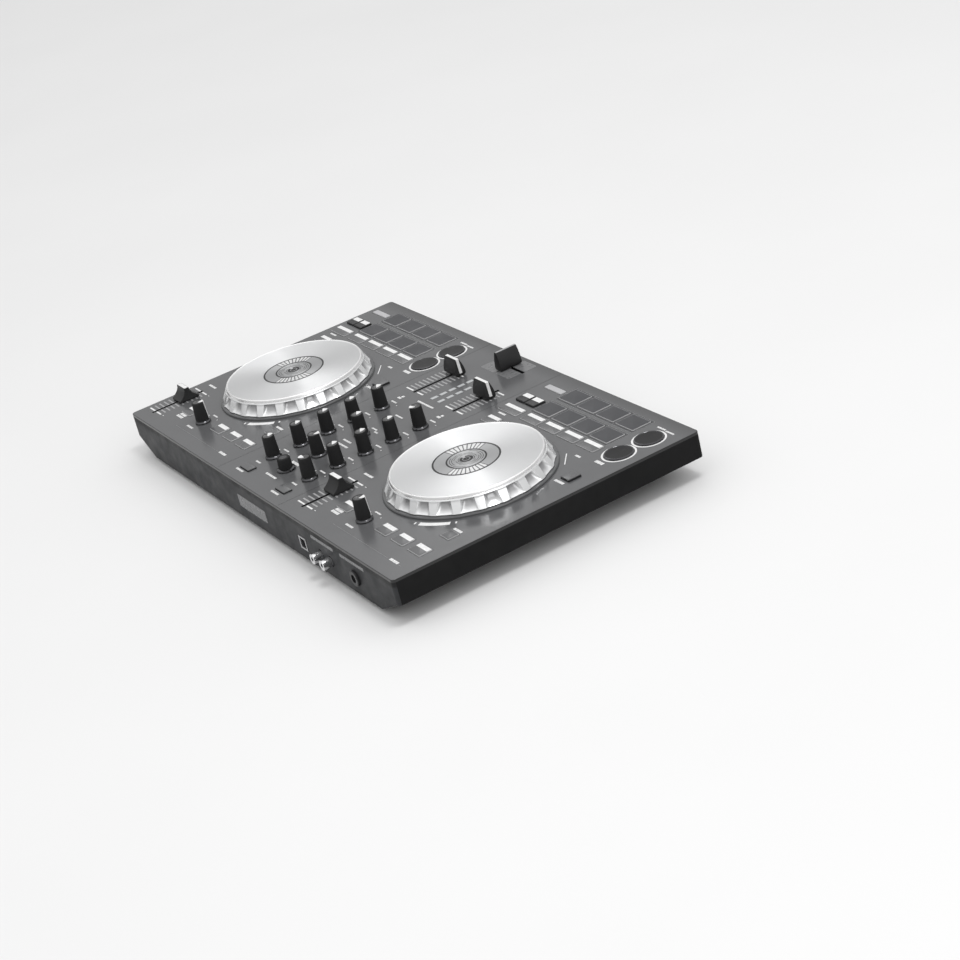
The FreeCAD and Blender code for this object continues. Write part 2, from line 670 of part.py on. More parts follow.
def make_knob(x, y):
    """Tall knob with a flared foot, on its spindle."""
    z0 = PANEL_TOP + KNOB_GAP
    top = PANEL_TOP + KNOB_HEIGHT
    bore = z0 + KNOB_BORE_DEPTH
    profile = [(0, bore), (SPINDLE_RADIUS, bore), (SPINDLE_RADIUS, z0), (KNOB_FLANGE_RADIUS - 0.5, z0),
               (KNOB_FLANGE_RADIUS, z0 + 0.5), (KNOB_FLANGE_RADIUS - 0.2, z0 + KNOB_FLANGE_HEIGHT - 0.9),
               (KNOB_FOOT_RADIUS, z0 + KNOB_FLANGE_HEIGHT), (KNOB_TOP_RADIUS, top - 0.5),
               (KNOB_TOP_RADIUS - 0.5, top), (0, top)]
    return group([lathe(profile, x, y), make_spindle(x, y, bore)])


def make_browse_knob(x, y):
    """Low selector knob with a broad foot, on its encoder shaft."""
    z0 = PANEL_TOP + KNOB_GAP
    top = PANEL_TOP + BROWSE_HEIGHT
    bore = z0 + BROWSE_HEIGHT - 3.0
    profile = [(0, bore), (SPINDLE_RADIUS, bore), (SPINDLE_RADIUS, z0),
               (BROWSE_FLANGE_RADIUS - 0.5, z0), (BROWSE_FLANGE_RADIUS, z0 + 0.5),
               (BROWSE_FLANGE_RADIUS - 0.2, z0 + 1.4), (BROWSE_RADIUS, z0 + 2.2),
               (BROWSE_RADIUS - 0.5, top - 0.6), (BROWSE_RADIUS - 1.1, top), (0, top)]
    return group([lathe(profile, x, y), make_spindle(x, y, bore)])


# --- fader caps --------------------------------------------------------------
def rectangle(cx, cy, width, depth, z):
    """A closed wire at height z."""
    corners = [Vector(cx + sx * width / 2, cy + sy * depth / 2, z)
               for sx, sy in ((-1, -1), (1, -1), (1, 1), (-1, 1))]
    return Part.makePolygon(corners + corners[:1])


def make_blade_cap(x, y, width, depth, crest, height):
    """Tall wedge cap: a broad face across the slot, narrowing to a crest."""
    z0 = PANEL_TOP + FADER_CAP_GAP
    top = PANEL_TOP + height
    foot = Part.makeLoft([rectangle(x, y, width, depth, z0), rectangle(x, y, width, depth, z0 + 1.4)],
                         True, True)
    blade = Part.makeLoft([rectangle(x, y, width, depth, z0 + 1.4),
                           rectangle(x, y, width - 3.0, crest, top)], True, True)
    return foot.fuse(blade).removeSplitter()


def make_saddle_cap(x, y, width, depth, crest, height):
    """Low cap whose long sides sweep up in hollow curves to a narrow crest."""
    z0 = PANEL_TOP + FADER_CAP_GAP
    top = PANEL_TOP + height
    half = depth / 2
    mid_y = half * 0.42
    mid_z = z0 + (top - z0) * 0.34

    def at(dy, z):
        return Vector(x - width / 2, y + dy, z)

    edges = [Part.LineSegment(at(-half, z0), at(half, z0)).toShape(),
             Part.LineSegment(at(half, z0), at(half, z0 + 1.6)).toShape(),
             Part.Arc(at(half, z0 + 1.6), at(mid_y, mid_z), at(crest / 2, top)).toShape(),
             Part.LineSegment(at(crest / 2, top), at(-crest / 2, top)).toShape(),
             Part.Arc(at(-crest / 2, top), at(-mid_y, mid_z), at(-half, z0 + 1.6)).toShape(),
             Part.LineSegment(at(-half, z0 + 1.6), at(-half, z0)).toShape()]
    return Part.Face(Part.Wire(edges)).extrude(Vector(width, 0, 0))


def make_fader_cap(slot_x, slot_y, along, rest, cap):
    """A cap with the stem that reaches down into its track."""
    width, depth, crest, height = cap
    shape = make_saddle_cap if cap is TEMPO_CAP else make_blade_cap
    body = shape(slot_x, slot_y, width, depth, crest, height)
    stem = slab(slot_x - FADER_STEM[0] / 2, slot_y - FADER_STEM[1] / 2, FADER_STEM_BOTTOM,
                slot_x + FADER_STEM[0] / 2, slot_y + FADER_STEM[1] / 2, PANEL_TOP + 2.0)
    whole = body.fuse(stem).removeSplitter()
    if along == "x":
        whole = whole.rotated(Vector(slot_x, slot_y, 0), UP, 90)
        whole.translate(Vector(rest, 0, 0))
    else:
        whole.translate(Vector(0, rest, 0))
    return whole


# --- sockets -----------------------------------------------------------------
def tube_along_y(x, z, y0, y1, outer):
    """A cylinder along Y."""
    return Part.makeCylinder(outer, y1 - y0, Vector(x, y0, z), Vector(0, 1, 0))


def make_rca_jacks():
    """Two phono sockets: a plug sleeve round a hollow contact, on a block inside."""
    jacks = []
    tip = REAR_Y + JACK_REACH
    for x in RCA_X:
        body = slab(x - 5.2, REAR_Y - WALL - 12.0, RCA_Z - 6.0, x + 5.2, REAR_Y - WALL - 0.1, RCA_Z + 6.0)
        neck = tube_along_y(x, RCA_Z, REAR_Y - WALL - 1.0, REAR_Y, RCA_SLEEVE_RADIUS - 0.4)
        sleeve = tube_along_y(x, RCA_Z, REAR_Y, tip, RCA_SLEEVE_RADIUS)
        jack = body.fuse(neck).fuse(sleeve)
        jacks.append(jack.cut(tube_along_y(x, RCA_Z, REAR_Y - 6.0, tip + 1, RCA_BORE_RADIUS)))
    return group(jacks)


def make_mic_jack():
    """Quarter-inch socket with a ring nut outside."""
    nut = tube_along_y(MIC_X, MIC_Z, REAR_Y + 0.05, REAR_Y + 2.2, 6.4)
    nut = nut.makeChamfer(0.5, [e for e in nut.Edges if e.BoundBox.YMin > REAR_Y + 2.0])
    neck = tube_along_y(MIC_X, MIC_Z, REAR_Y - WALL - 1.0, REAR_Y + 0.5, 4.9)
    body = slab(MIC_X - 7.5, REAR_Y - WALL - 22.0, MIC_Z - 7.0, MIC_X + 7.5, REAR_Y - WALL - 0.1,
                MIC_Z + 7.0)
    bore = tube_along_y(MIC_X, MIC_Z, REAR_Y + 2.2 - MIC_DEPTH, REAR_Y + 5, MIC_BORE_RADIUS)
    return body.fuse(neck).fuse(nut).cut(bore).removeSplitter()


def make_usb_port():
    """Square socket shell with its contact tongue set back."""
    width, height = USB_OUTER
    inner_width, inner_height = USB_INNER
    face = REAR_Y + 0.4
    shell = slab(USB_X - width / 2, REAR_Y - USB_DEPTH - 2.0, USB_Z - height / 2, USB_X + width / 2,
                 face, USB_Z + height / 2)
    mouth = slab(USB_X - inner_width / 2, REAR_Y - USB_DEPTH, USB_Z - inner_height / 2,
                 USB_X + inner_width / 2, face + 1, USB_Z + inner_height / 2)
    tongue = slab(USB_X - 2.8, REAR_Y - USB_DEPTH - 1, USB_Z - 1.6, USB_X + 2.8, REAR_Y - 6.5, USB_Z + 1.6)
    return shell.cut(mouth).fuse(tongue).removeSplitter()


def make_headphone_jack():
    """Small stereo socket in the front wall."""
    body = slab(PHONES_JACK_X - 3.0, FRONT_Y + WALL + 0.1, PHONES_JACK_Z - 2.9, PHONES_JACK_X + 3.0,
                FRONT_Y + WALL + 14.0, PHONES_JACK_Z + 2.9)
    neck = tube_along_y(PHONES_JACK_X, PHONES_JACK_Z, FRONT_Y, FRONT_Y + WALL + 1, 3.3)
    bore = tube_along_y(PHONES_JACK_X, PHONES_JACK_Z, FRONT_Y - 1, FRONT_Y + PHONES_DEPTH,
                        PHONES_BORE_RADIUS)
    return body.fuse(neck).cut(bore).removeSplitter()


# --- the whole object --------------------------------------------------------
def write_fixed_parts():
    write("top_panel", make_top_panel())
    write("side_frame", make_side_frame())
    write("rear_panel", make_rear_panel())
    write("lower_case", make_lower_case())
    write("rubber_feet", make_feet())
    write("case_screws", make_case_screws())
    write("main_board", make_main_board())
    write("rotary_pots", make_rotary_pots())
    write("fader_tracks", make_fader_tracks())
    write("key_switches", make_key_switches())
    write("level_meter_lenses", make_meter_lenses())
    write("jog_bases", group([make_jog_base(x, panel_y(JOG_Y)) for x in DECKS.values()]))
    write("rca_jacks", make_rca_jacks())
    write("mic_jack", make_mic_jack())
    write("usb_port", make_usb_port())
    write("headphone_jack", make_headphone_jack())


def write_decks():
    for side, centre in DECKS.items():
        write("jog_plate_" + side, make_jog_plate(centre, panel_y(JOG_Y)))
        write("jog_skirt_" + side, make_jog_skirt(centre, panel_y(JOG_Y)))
        for name, members in deck_keys(centre).items():
            pots = [knob_places()["effect_level_knob_" + side]] if name == "effect_keys" else []
            write(name + "_" + side, make_keys(members, pots))
        for name, (x, y) in round_keys(centre).items():
            write(name + "_" + side, make_round_key(x, y))


def write_mixer():
    for name, member in load_keys().items():
        write(name, make_keys([member]))
    for name, (x, y) in knob_places().items():
        write(name, make_browse_knob(x, y) if name == "browse_knob" else make_knob(x, y))
    for name, (x, y, _, along, rest, cap) in fader_places().items():
        write(name, make_fader_cap(x, y, along, rest, cap))


def main():
    os.makedirs("parts", exist_ok=True)
    write_fixed_parts()
    write_decks()
    write_mixer()


main()
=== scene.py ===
"""Looks of a two-deck controller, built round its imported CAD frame. Metres, +Z up."""

import math

import bmesh
import bpy
from mathutils import Matrix, Vector


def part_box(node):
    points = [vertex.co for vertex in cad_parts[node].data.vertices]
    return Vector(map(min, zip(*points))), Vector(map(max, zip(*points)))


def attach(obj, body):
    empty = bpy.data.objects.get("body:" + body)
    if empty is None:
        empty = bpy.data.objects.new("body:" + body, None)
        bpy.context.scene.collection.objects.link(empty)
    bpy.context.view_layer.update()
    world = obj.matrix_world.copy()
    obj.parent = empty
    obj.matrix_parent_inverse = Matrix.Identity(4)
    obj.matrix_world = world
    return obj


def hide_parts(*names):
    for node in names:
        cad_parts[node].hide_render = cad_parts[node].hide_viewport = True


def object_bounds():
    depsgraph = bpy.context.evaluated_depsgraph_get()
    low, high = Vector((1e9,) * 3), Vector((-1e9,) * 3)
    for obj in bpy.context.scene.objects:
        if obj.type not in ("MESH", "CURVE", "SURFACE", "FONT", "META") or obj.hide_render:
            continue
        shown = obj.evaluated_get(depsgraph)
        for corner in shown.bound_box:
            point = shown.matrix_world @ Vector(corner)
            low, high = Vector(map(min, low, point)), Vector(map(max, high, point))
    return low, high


MM = 0.001
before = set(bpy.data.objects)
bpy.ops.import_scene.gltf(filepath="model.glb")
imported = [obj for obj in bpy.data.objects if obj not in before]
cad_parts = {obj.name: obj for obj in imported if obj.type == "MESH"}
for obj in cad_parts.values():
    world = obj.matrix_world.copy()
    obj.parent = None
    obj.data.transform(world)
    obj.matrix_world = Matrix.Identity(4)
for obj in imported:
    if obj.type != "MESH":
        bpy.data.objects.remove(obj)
cad_low, cad_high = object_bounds()

SIDES = ("left", "right")
PANEL_LOW, PANEL_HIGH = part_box("top_panel")
PANEL_TOP = PANEL_HIGH.z
REAR_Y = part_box("rear_panel")[1].y
PRINT_HEIGHT = 0.04 * MM
PRINT_SINK = 0.02 * MM


# --- places ---
def middle(node):
    """Centre of a CAD node's plan, as (x, y)."""
    low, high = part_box(node)
    return (low.x + high.x) / 2, (low.y + high.y) / 2


JOGS = {side: middle("jog_skirt_" + side) for side in SIDES}
KNOB_ROWS = ("trim", "high", "mid", "low", "filter")
CHANNEL_KNOBS = [row + "_knob_" + side for side in SIDES for row in KNOB_ROWS]
LEVEL_KNOBS = ["master_level_knob", "headphone_level_knob"]
EFFECT_KNOBS = ["effect_level_knob_" + side for side in SIDES]


def key_tops(node):
    """The raised tops of a key node as (x0, x1, y0, y1, z), from left to right."""
    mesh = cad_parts[node].data
    owner = {}

    def root(a):
        while owner.setdefault(a, a) != a:
            a = owner[a]
        return a

    spot = {}
    for face in mesh.polygons:
        if face.normal.z < 0.5 or face.center.z < PANEL_TOP + 0.2 * MM:
            continue
        corners = [mesh.vertices[i].co for i in face.vertices]
        keys = [tuple(round(c / MM * 50) for c in co) for co in corners]
        spot.update(zip(keys, corners))
        for key in keys[1:]:
            owner[root(key)] = root(keys[0])
    groups = {}
    for key, co in spot.items():
        groups.setdefault(root(key), []).append(co)
    tops = []
    for points in groups.values():
        xs, ys, zs = zip(*points)
        tops.append((min(xs), max(xs), min(ys), max(ys), max(zs)))
    return sorted(tops, key=lambda t: (round(-t[2], 3), t[0]))


# --- materials ---
def grey(level, blue=None):
    """A grey, a little bluer where blue is given."""
    return (level, level, blue or level)


def shade(color, share):
    """A colour made darker or lighter."""
    return tuple(min(1.0, c * share) for c in color)


def fill(node, **values):
    """Sets a node's inputs by name, with _ for a space."""
    for name, value in values.items():
        node.inputs[name.replace("_", " ")].default_value = value


class Material:
    """A node material: a base colour with grain, mottling, roughness noise and bump."""

    def __init__(self, name, color, roughness, metallic=0.0):
        self.made = bpy.data.materials.new(name)
        self.made.use_nodes = True
        self.tree = self.made.node_tree
        self.shader = self.tree.nodes["Principled BSDF"]
        self.place = self.node("ShaderNodeTexCoord").outputs["Object"]
        self.color = color
        fill(self.shader, Roughness=roughness, Metallic=metallic, Base_Color=(*color, 1))
        self.made.diffuse_color = (*color, 1)

    def node(self, kind, **values):
        made = self.tree.nodes.new(kind)
        for name, value in values.items():
            setattr(made, name, value)
        return made

    def link(self, output, node_input):
        self.tree.links.new(output, node_input)

    def noise(self, scale, detail=3.0, stretch=None):
        """A noise value, scale in cycles per metre."""
        noise = self.node("ShaderNodeTexNoise")
        fill(noise, Scale=scale, Detail=detail)
        if stretch:
            mapping = self.node("ShaderNodeMapping")
            fill(mapping, Scale=stretch)
            self.link(self.place, mapping.inputs["Vector"])
            self.link(mapping.outputs["Vector"], noise.inputs["Vector"])
        else:
            self.link(self.place, noise.inputs["Vector"])
        return noise.outputs["Fac"]

    def spread(self, value, low, high, start=0.3, end=0.7):
        """Maps a noise value to a range."""
        ramp = self.node("ShaderNodeMapRange")
        fill(ramp, From_Min=start, From_Max=end, To_Min=low, To_Max=high)
        self.link(value, ramp.inputs["Value"])
        return ramp.outputs["Result"]

    def mix(self, factor, first, second):
        """Colour mix; first and second are colours or sockets."""
        mix = self.node("ShaderNodeMix", data_type="RGBA")
        self.link(factor, mix.inputs["Factor"])
        for value, name in ((first, 6), (second, 7)):
            if isinstance(value, tuple):
                mix.inputs[name].default_value = (*value, 1)
            else:
                self.link(value, mix.inputs[name])
        return mix.outputs[2]

    def axis(self, name):
        """The X, Y or Z coordinate in the object's own space."""
        split = self.node("ShaderNodeSeparateXYZ")
        self.link(self.place, split.inputs["Vector"])
        return split.outputs[name]

    def plan_radius(self):
        """Distance from the object's own upright axis."""
        flat = self.node("ShaderNodeCombineXYZ")
        for name in "XY":
            self.link(self.axis(name), flat.inputs[name])
        length = self.node("ShaderNodeVectorMath", operation="LENGTH")
        self.link(flat.outputs["Vector"], length.inputs[0])
        return length.outputs["Value"]

    def base(self, value):
        self.link(value, self.shader.inputs["Base Color"])

    def mottle(self, scale, amount):
        """Slow colour drift around the base colour."""
        drift = self.mix(self.spread(self.noise(scale, 4), 0, 1),
                         shade(self.color, 1 - amount), shade(self.color, 1 + amount))
        self.base(drift)
        return drift

    def wear(self, under, edge_color, amount):
        """Lighter, rubbed convex edges over the given colour."""
        curve = self.node("ShaderNodeNewGeometry").outputs["Pointiness"]
        edge = self.spread(curve, 0, amount, 0.52, 0.62)
        patchy = self.node("ShaderNodeMath", operation="MULTIPLY")
        self.link(edge, patchy.inputs[0])
        self.link(self.spread(self.noise(90, 4), 0.3, 1), patchy.inputs[1])
        self.base(self.mix(patchy.outputs[0], under, edge_color))

    def vary_roughness(self, scale, low, high):
        self.link(self.spread(self.noise(scale, 5), low, high), self.shader.inputs["Roughness"])

    def bump(self, height, strength, depth):
        bump = self.node("ShaderNodeBump")
        fill(bump, Strength=strength, Distance=depth)
        self.link(height, bump.inputs["Height"])
        self.link(bump.outputs["Normal"], self.shader.inputs["Normal"])

    def set(self, **values):
        fill(self.shader, **values)


def moulded(name, color, roughness, grain=3200, depth=0.03 * MM, mottling=0.06, specular=0.5,
            metallic=0.0):
    """Moulded plastic: fine spark-eroded grain, faint mottling and uneven gloss."""
    made = Material(name, color, roughness, metallic)
    made.mottle(35, mottling)
    made.vary_roughness(60, roughness - 0.05, roughness + 0.05)
    made.bump(made.noise(grain, 2), 0.35, depth)
    made.set(Specular_IOR_Level=specular)
    return made.made


def spun(name, color, roughness, groove=2600, depth=0.006 * MM, mottling=0.03):
    """Metal turned on a lathe: rings round the object's own origin."""
    made = Material(name, color, roughness, 1.0)
    rings = made.node("ShaderNodeTexNoise", noise_dimensions="1D")
    fill(rings, Scale=groove, Detail=4)
    made.link(made.plan_radius(), rings.inputs["W"])
    made.base(made.mix(made.spread(rings.outputs["Fac"], 0, 1), shade(color, 1 - mottling),
                       shade(color, 1 + mottling)))
    made.vary_roughness(40, roughness - 0.03, roughness + 0.03)
    made.bump(rings.outputs["Fac"], 0.25, depth)
    tangent = made.node("ShaderNodeTangent", direction_type="RADIAL", axis="Z")
    made.link(tangent.outputs["Tangent"], made.shader.inputs["Tangent"])
    made.set(Anisotropic=0.85, Anisotropic_Rotation=0.25)
    return made.made


def brushed(name, color, roughness, stretch):
    """Plated or brushed metal with streaks along one direction."""
    made = Material(name, color, roughness, 1.0)
    streaks = made.noise(900, 3, stretch)
    made.base(made.mix(made.spread(streaks, 0, 1), shade(color, 0.85), color))
    made.vary_roughness(200, roughness - 0.05, roughness + 0.08)
    made.bump(streaks, 0.15, 0.01 * MM)
    return made.made


def ink(name, color, roughness=0.5):
    """Screen-printed ink, slightly uneven in cover."""
    made = Material(name, color, roughness)
    made.base(made.mix(made.spread(made.noise(500, 5), 0, 1), shade(color, 0.82), color))
    made.vary_roughness(300, roughness - 0.08, roughness + 0.08)
    made.bump(made.noise(2500, 2), 0.2, 0.01 * MM)
    return made.made


EDGE_BLACK = (0.009, 0.009, 0.0092)
SKIRT_RADIUS = 67.2 * MM
SKIRT_LEAN = 0.53


def jog_rim_material():
    """Satin silver, with painted shade inside the finger notches, darkest at their greatest depth.
    """
    made = Material("jog_rim_silver", (0.84, 0.845, 0.85), 0.22, 0.7)
    leaning = made.node("ShaderNodeMath", operation="MULTIPLY_ADD")
    made.link(made.axis("Z"), leaning.inputs[0])
    leaning.inputs[1].default_value = SKIRT_LEAN
    made.link(made.plan_radius(), leaning.inputs[2])
    surface = SKIRT_RADIUS + SKIRT_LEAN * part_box("jog_skirt_left")[0].z
    # Painted shade: mixes towards dark grey where the surface lies 1.2 to 3 mm inside the skirt's
    # cone, in the notches.
    notch_shade = made.spread(leaning.outputs["Value"], 1, 0, surface - 3.0 * MM, surface - 1.2 * MM)
    made.base(made.mix(notch_shade, made.mottle(40, 0.02), (0.38, 0.38, 0.385)))
    made.vary_roughness(60, 0.19, 0.25)
    made.bump(made.noise(1800, 2), 0.2, 0.002 * MM)
    return made.made


def case_wall_material():
    """Side frame: black grain with a slightly dusty upper edge."""
    made = Material("case_black", EDGE_BLACK, 0.6)
    made.wear(made.mottle(30, 0.15), grey(0.02), 0.3)
    made.vary_roughness(80, 0.52, 0.66)
    made.bump(made.noise(2600, 2), 0.5, 0.05 * MM)
    made.set(Specular_IOR_Level=0.08)
    return made.made


def panel_material():
    """Top panel: satin grey face, black edges, and painted shade along the user's edge where it
    rolls over.
    """
    made = Material("panel_grey", (0.094, 0.095, 0.098), 0.2)
    face = made.mottle(35, 0.04)
    # Painted shade: the face mixes up to half-way towards near-black over the 14 mm next to the
    # user's edge.
    front_shade = made.spread(made.axis("Y"), 0.5, 0, PANEL_LOW.y + 2 * MM, PANEL_LOW.y + 16 * MM)
    face = made.mix(front_shade, face, (0.02, 0.02, 0.021))
    facing = made.node("ShaderNodeSeparateXYZ")
    made.link(made.node("ShaderNodeNewGeometry").outputs["Normal"], facing.inputs["Vector"])
    made.base(made.mix(made.spread(facing.outputs["Z"], 1, 0, 0.5, 0.8), face, EDGE_BLACK))
    made.vary_roughness(60, 0.16, 0.24)
    made.bump(made.noise(2600, 2), 0.2, 0.012 * MM)
    return made.made


def rear_material():
    """Rear plate: coarse dark grain, darker under the panel's edge."""
    made = Material("rear_grey", (0.026, 0.027, 0.029), 0.5)
    face = made.mottle(60, 0.25)
    band = made.spread(made.axis("Z"), 0, 0.9, PANEL_TOP - 7.5 * MM, PANEL_TOP - 5.5 * MM)
    made.base(made.mix(band, face, (0.006, 0.006, 0.006)))
    made.vary_roughness(80, 0.42, 0.6)
    made.bump(made.noise(1400, 4), 0.5, 0.08 * MM)
    made.set(Specular_IOR_Level=0.25)
    return made.made


def board_material():
    """Green circuit board with faint copper tracks under the mask."""
    made = Material("board_green", (0.02, 0.10, 0.045), 0.35)
    tracks = made.node("ShaderNodeTexBrick")
    fill(tracks, Scale=60, Mortar_Size=0.03, Color1=(0.02, 0.10, 0.045, 1),
         Color2=(0.02, 0.12, 0.05, 1), Mortar=(0.05, 0.19, 0.08, 1))
    made.link(made.place, tracks.inputs["Vector"])
    made.base(tracks.outputs["Color"])
    made.vary_roughness(120, 0.28, 0.42)
    made.bump(tracks.outputs["Fac"], 0.2, 0.03 * MM)
    return made.made


M = {
    "panel": panel_material(),
    "case": case_wall_material(),
    "rear": rear_material(),
    "under": moulded("under_black", grey(0.02), 0.6, 1500, 0.08 * MM, 0.1),
    "rubber": moulded("foot_rubber", grey(0.015), 0.8, 1800, 0.06 * MM, 0.1, 0.3),
    "screw": brushed("screw_black", grey(0.16, 0.17), 0.4, (1, 1, 20)),
    "board": board_material(),
    "pot": moulded("pot_grey", grey(0.16, 0.165), 0.5),
    "track": brushed("track_steel", grey(0.5, 0.52), 0.35, (1, 12, 1)),
    "switch": moulded("switch_black", grey(0.03), 0.5),
    "lens": moulded("meter_lens", (0.42, 0.43, 0.44), 0.25, 1200, 0.01 * MM, 0.08),
    "dish": moulded("dish_grey", (0.100, 0.101, 0.103), 0.3, 2000, 0.01 * MM, 0.05, 0.3),
    "jog": spun("jog_spun_silver", (0.80, 0.805, 0.81), 0.34),
    "rim": jog_rim_material(),
    "bead": moulded("jog_bead_silver", grey(0.92), 0.28, 900, 0.001 * MM, 0.02,
                    metallic=0.9),
    "white": ink("print_white", grey(0.80)),
    "pale": ink("print_pale", grey(0.34, 0.345)),
    "faint": ink("print_faint", (0.165, 0.166, 0.17), 0.3),
    "rule": ink("print_rule", grey(0.30, 0.305), 0.4),
    "pad_field": ink("print_pad_field", (0.060, 0.061, 0.065), 0.36),
    "mark": ink("print_mark", grey(0.34, 0.345), 0.4),
    "dark": ink("print_dark", grey(0.012, 0.013)),
    "key": moulded("key_grey", (0.092, 0.093, 0.096), 0.24, 2600, 0.012 * MM, 0.05),
    "key_side": moulded("key_black", grey(0.012, 0.013), 0.4, 2600, 0.02 * MM, 0.08),
    "pad": moulded("pad_silicone", (0.056, 0.057, 0.061), 0.36, 1500, 0.03 * MM, 0.06, 0.2),
    "key_rim": moulded("key_rim_pale", grey(0.33, 0.335), 0.35, 2200, 0.01 * MM, 0.06),
    "shift": moulded("shift_pale", grey(0.42, 0.43), 0.4, 2200, 0.01 * MM, 0.05),
    # Bright silver for the painted highlight arcs on the jog plates.
    "jog_painted_highlight": brushed("jog_painted_highlight_silver", grey(0.9), 0.35, (1, 1, 1)),
    "jog_band": spun("jog_band_silver", (0.50, 0.505, 0.51), 0.36),
    "disc": spun("transport_disc", grey(0.022, 0.023), 0.16, 1500, 0.004 * MM, 0.1),
    "knob": moulded("knob_black", grey(0.012, 0.0125), 0.62, 1400, 0.06 * MM, 0.1, 0.3),
    "collar": moulded("knob_collar", grey(0.10, 0.105), 0.20, 900, 0.002 * MM, 0.05, metallic=1.0),
    "knob_top": moulded("knob_top", grey(0.035, 0.036), 0.22, 1200, 0.01 * MM, 0.05, 0.6),
    "fader": moulded("fader_black", grey(0.012, 0.0125), 0.45, 1600, 0.03 * MM, 0.1, 0.4),
    "chrome": brushed("socket_chrome", grey(0.82, 0.83), 0.12, (1, 1, 1)),
    "steel": brushed("socket_steel", grey(0.55, 0.56), 0.3, (1, 8, 1)),
    "socket": moulded("socket_black", grey(0.015, 0.016), 0.35, 2200, 0.02 * MM, 0.08),
}


# --- mesh tools ---
def skin(bm, first, second):
    """Faces between two closed loops of vertices; a loop of one vertex is a point."""
    count = max(len(first), len(second))
    for i in range(count):
        j = (i + 1) % count
        corners = [first[i % len(first)], first[j % len(first)],
                   second[j % len(second)], second[i % len(second)]]
        unique = list(dict.fromkeys(corners))
        if len(unique) > 2:
            bm.faces.new(unique)


def loft(bm, rings):
    """A closed skin over rings of equally many points."""
    loops = [[bm.verts.new(point) for point in ring] for ring in rings]
    for first, second in zip(loops, loops[1:]):
        skin(bm, first, second)
    bm.faces.new(list(reversed(loops[0])))
    bm.faces.new(loops[-1])


def turned(bm, profile, place=Matrix(), segments=72, closed=False, flutes=0, flute_depth=0.0):
    """Revolves (radius, height) points about the place's Z axis; flutes cut the sides."""
    loops = []
    for radius, height in profile:
        if radius < 1e-9:
            loops.append([bm.verts.new(place @ Vector((0, 0, height)))])
            continue
        ring = []
        for i in range(segments):
            a = 2 * math.pi * i / segments
            r = radius - flute_depth * (0.5 - 0.5 * math.cos(flutes * a)) if flutes else radius
            ring.append(bm.verts.new(place @ Vector((r * math.cos(a), r * math.sin(a), height))))
        loops.append(ring)
    if closed:
        loops.append(loops[0])
    for first, second in zip(loops, loops[1:]):
        skin(bm, first, second)


def around(x, y, radius, a):
    """The point at an angle in radians round (x, y)."""
    return x + radius * math.cos(a), y + radius * math.sin(a)


def beside(radius, height, steps):
    """Profile points at steps in mm from one place on the profile."""
    return [(radius + dr * MM, height + dz * MM) for dr, dz in steps]


def rounded_outline(x0, x1, y0, y1, radius, steps=4):
    """Corner points of a rectangle with rounded corners, anticlockwise."""
    radius = min(radius, (x1 - x0) / 2, (y1 - y0) / 2)
    points = []
    corners = ((x1 - radius, y1 - radius, 0), (x0 + radius, y1 - radius, 90),
               (x0 + radius, y0 + radius, 180), (x1 - radius, y0 + radius, 270))
    for cx, cy, start in corners:
        for i in range(steps + 1):
            a = math.radians(start + 90 * i / steps)
            points.append(around(cx, cy, radius, a))
    return points


EDGE_STEPS = 3


def soft_block(bm, x0, x1, y0, y1, z0, z1, corner, edge, place=Matrix()):
    """A block with rounded upright corners and a rounded top edge."""
    levels = [(0, z0)]
    for i in range(EDGE_STEPS + 1):
        a = math.radians(90 * i / EDGE_STEPS)
        levels.append((edge * (1 - math.cos(a)), z1 - edge + edge * math.sin(a)))
    rings = []
    for inset, z in levels:
        outline = rounded_outline(x0 + inset, x1 - inset, y0 + inset, y1 - inset,
                                  max(corner - inset, 0.02 * MM))
        rings.append([place @ Vector((x, y, z)) for x, y in outline])
    loft(bm, rings)


def bar(bm, cx, cy, width, depth, angle=0.0, z=PANEL_TOP, corner=0.3 * MM):
    """A thin printed bar on a level surface."""
    place = Matrix.Translation((cx, cy, 0)) @ Matrix.Rotation(math.radians(angle), 4, "Z")
    corner = min(corner, width * 0.45, depth * 0.45)
    outline = rounded_outline(-width / 2, width / 2, -depth / 2, depth / 2, corner, 3)
    loft(bm, [[place @ Vector((x, y, level)) for x, y in outline]
              for level in (z - PRINT_SINK, z + PRINT_HEIGHT)])


def stroke(bm, start, end, width, z=PANEL_TOP):
    """A thin printed line between two points."""
    dx, dy = end[0] - start[0], end[1] - start[1]
    bar(bm, (start[0] + end[0]) / 2, (start[1] + end[1]) / 2, math.hypot(dx, dy), width,
        math.degrees(math.atan2(dy, dx)), z, 0.1 * MM)


def frame_line(bm, x0, x1, y0, y1, width, corner):
    """A thin printed outline on the panel: a rounded rectangle with an open middle."""
    loops = []
    low, high = PANEL_TOP - PRINT_SINK, PANEL_TOP + PRINT_HEIGHT
    for inset, level in ((0, low), (0, high), (width, high), (width, low)):
        outline = rounded_outline(x0 + inset, x1 - inset, y0 + inset, y1 - inset,
                                  max(corner - inset, 0.05 * MM))
        loops.append([bm.verts.new((x, y, level)) for x, y in outline])
    for first, second in zip(loops, loops[1:] + loops[:1]):
        skin(bm, first, second)


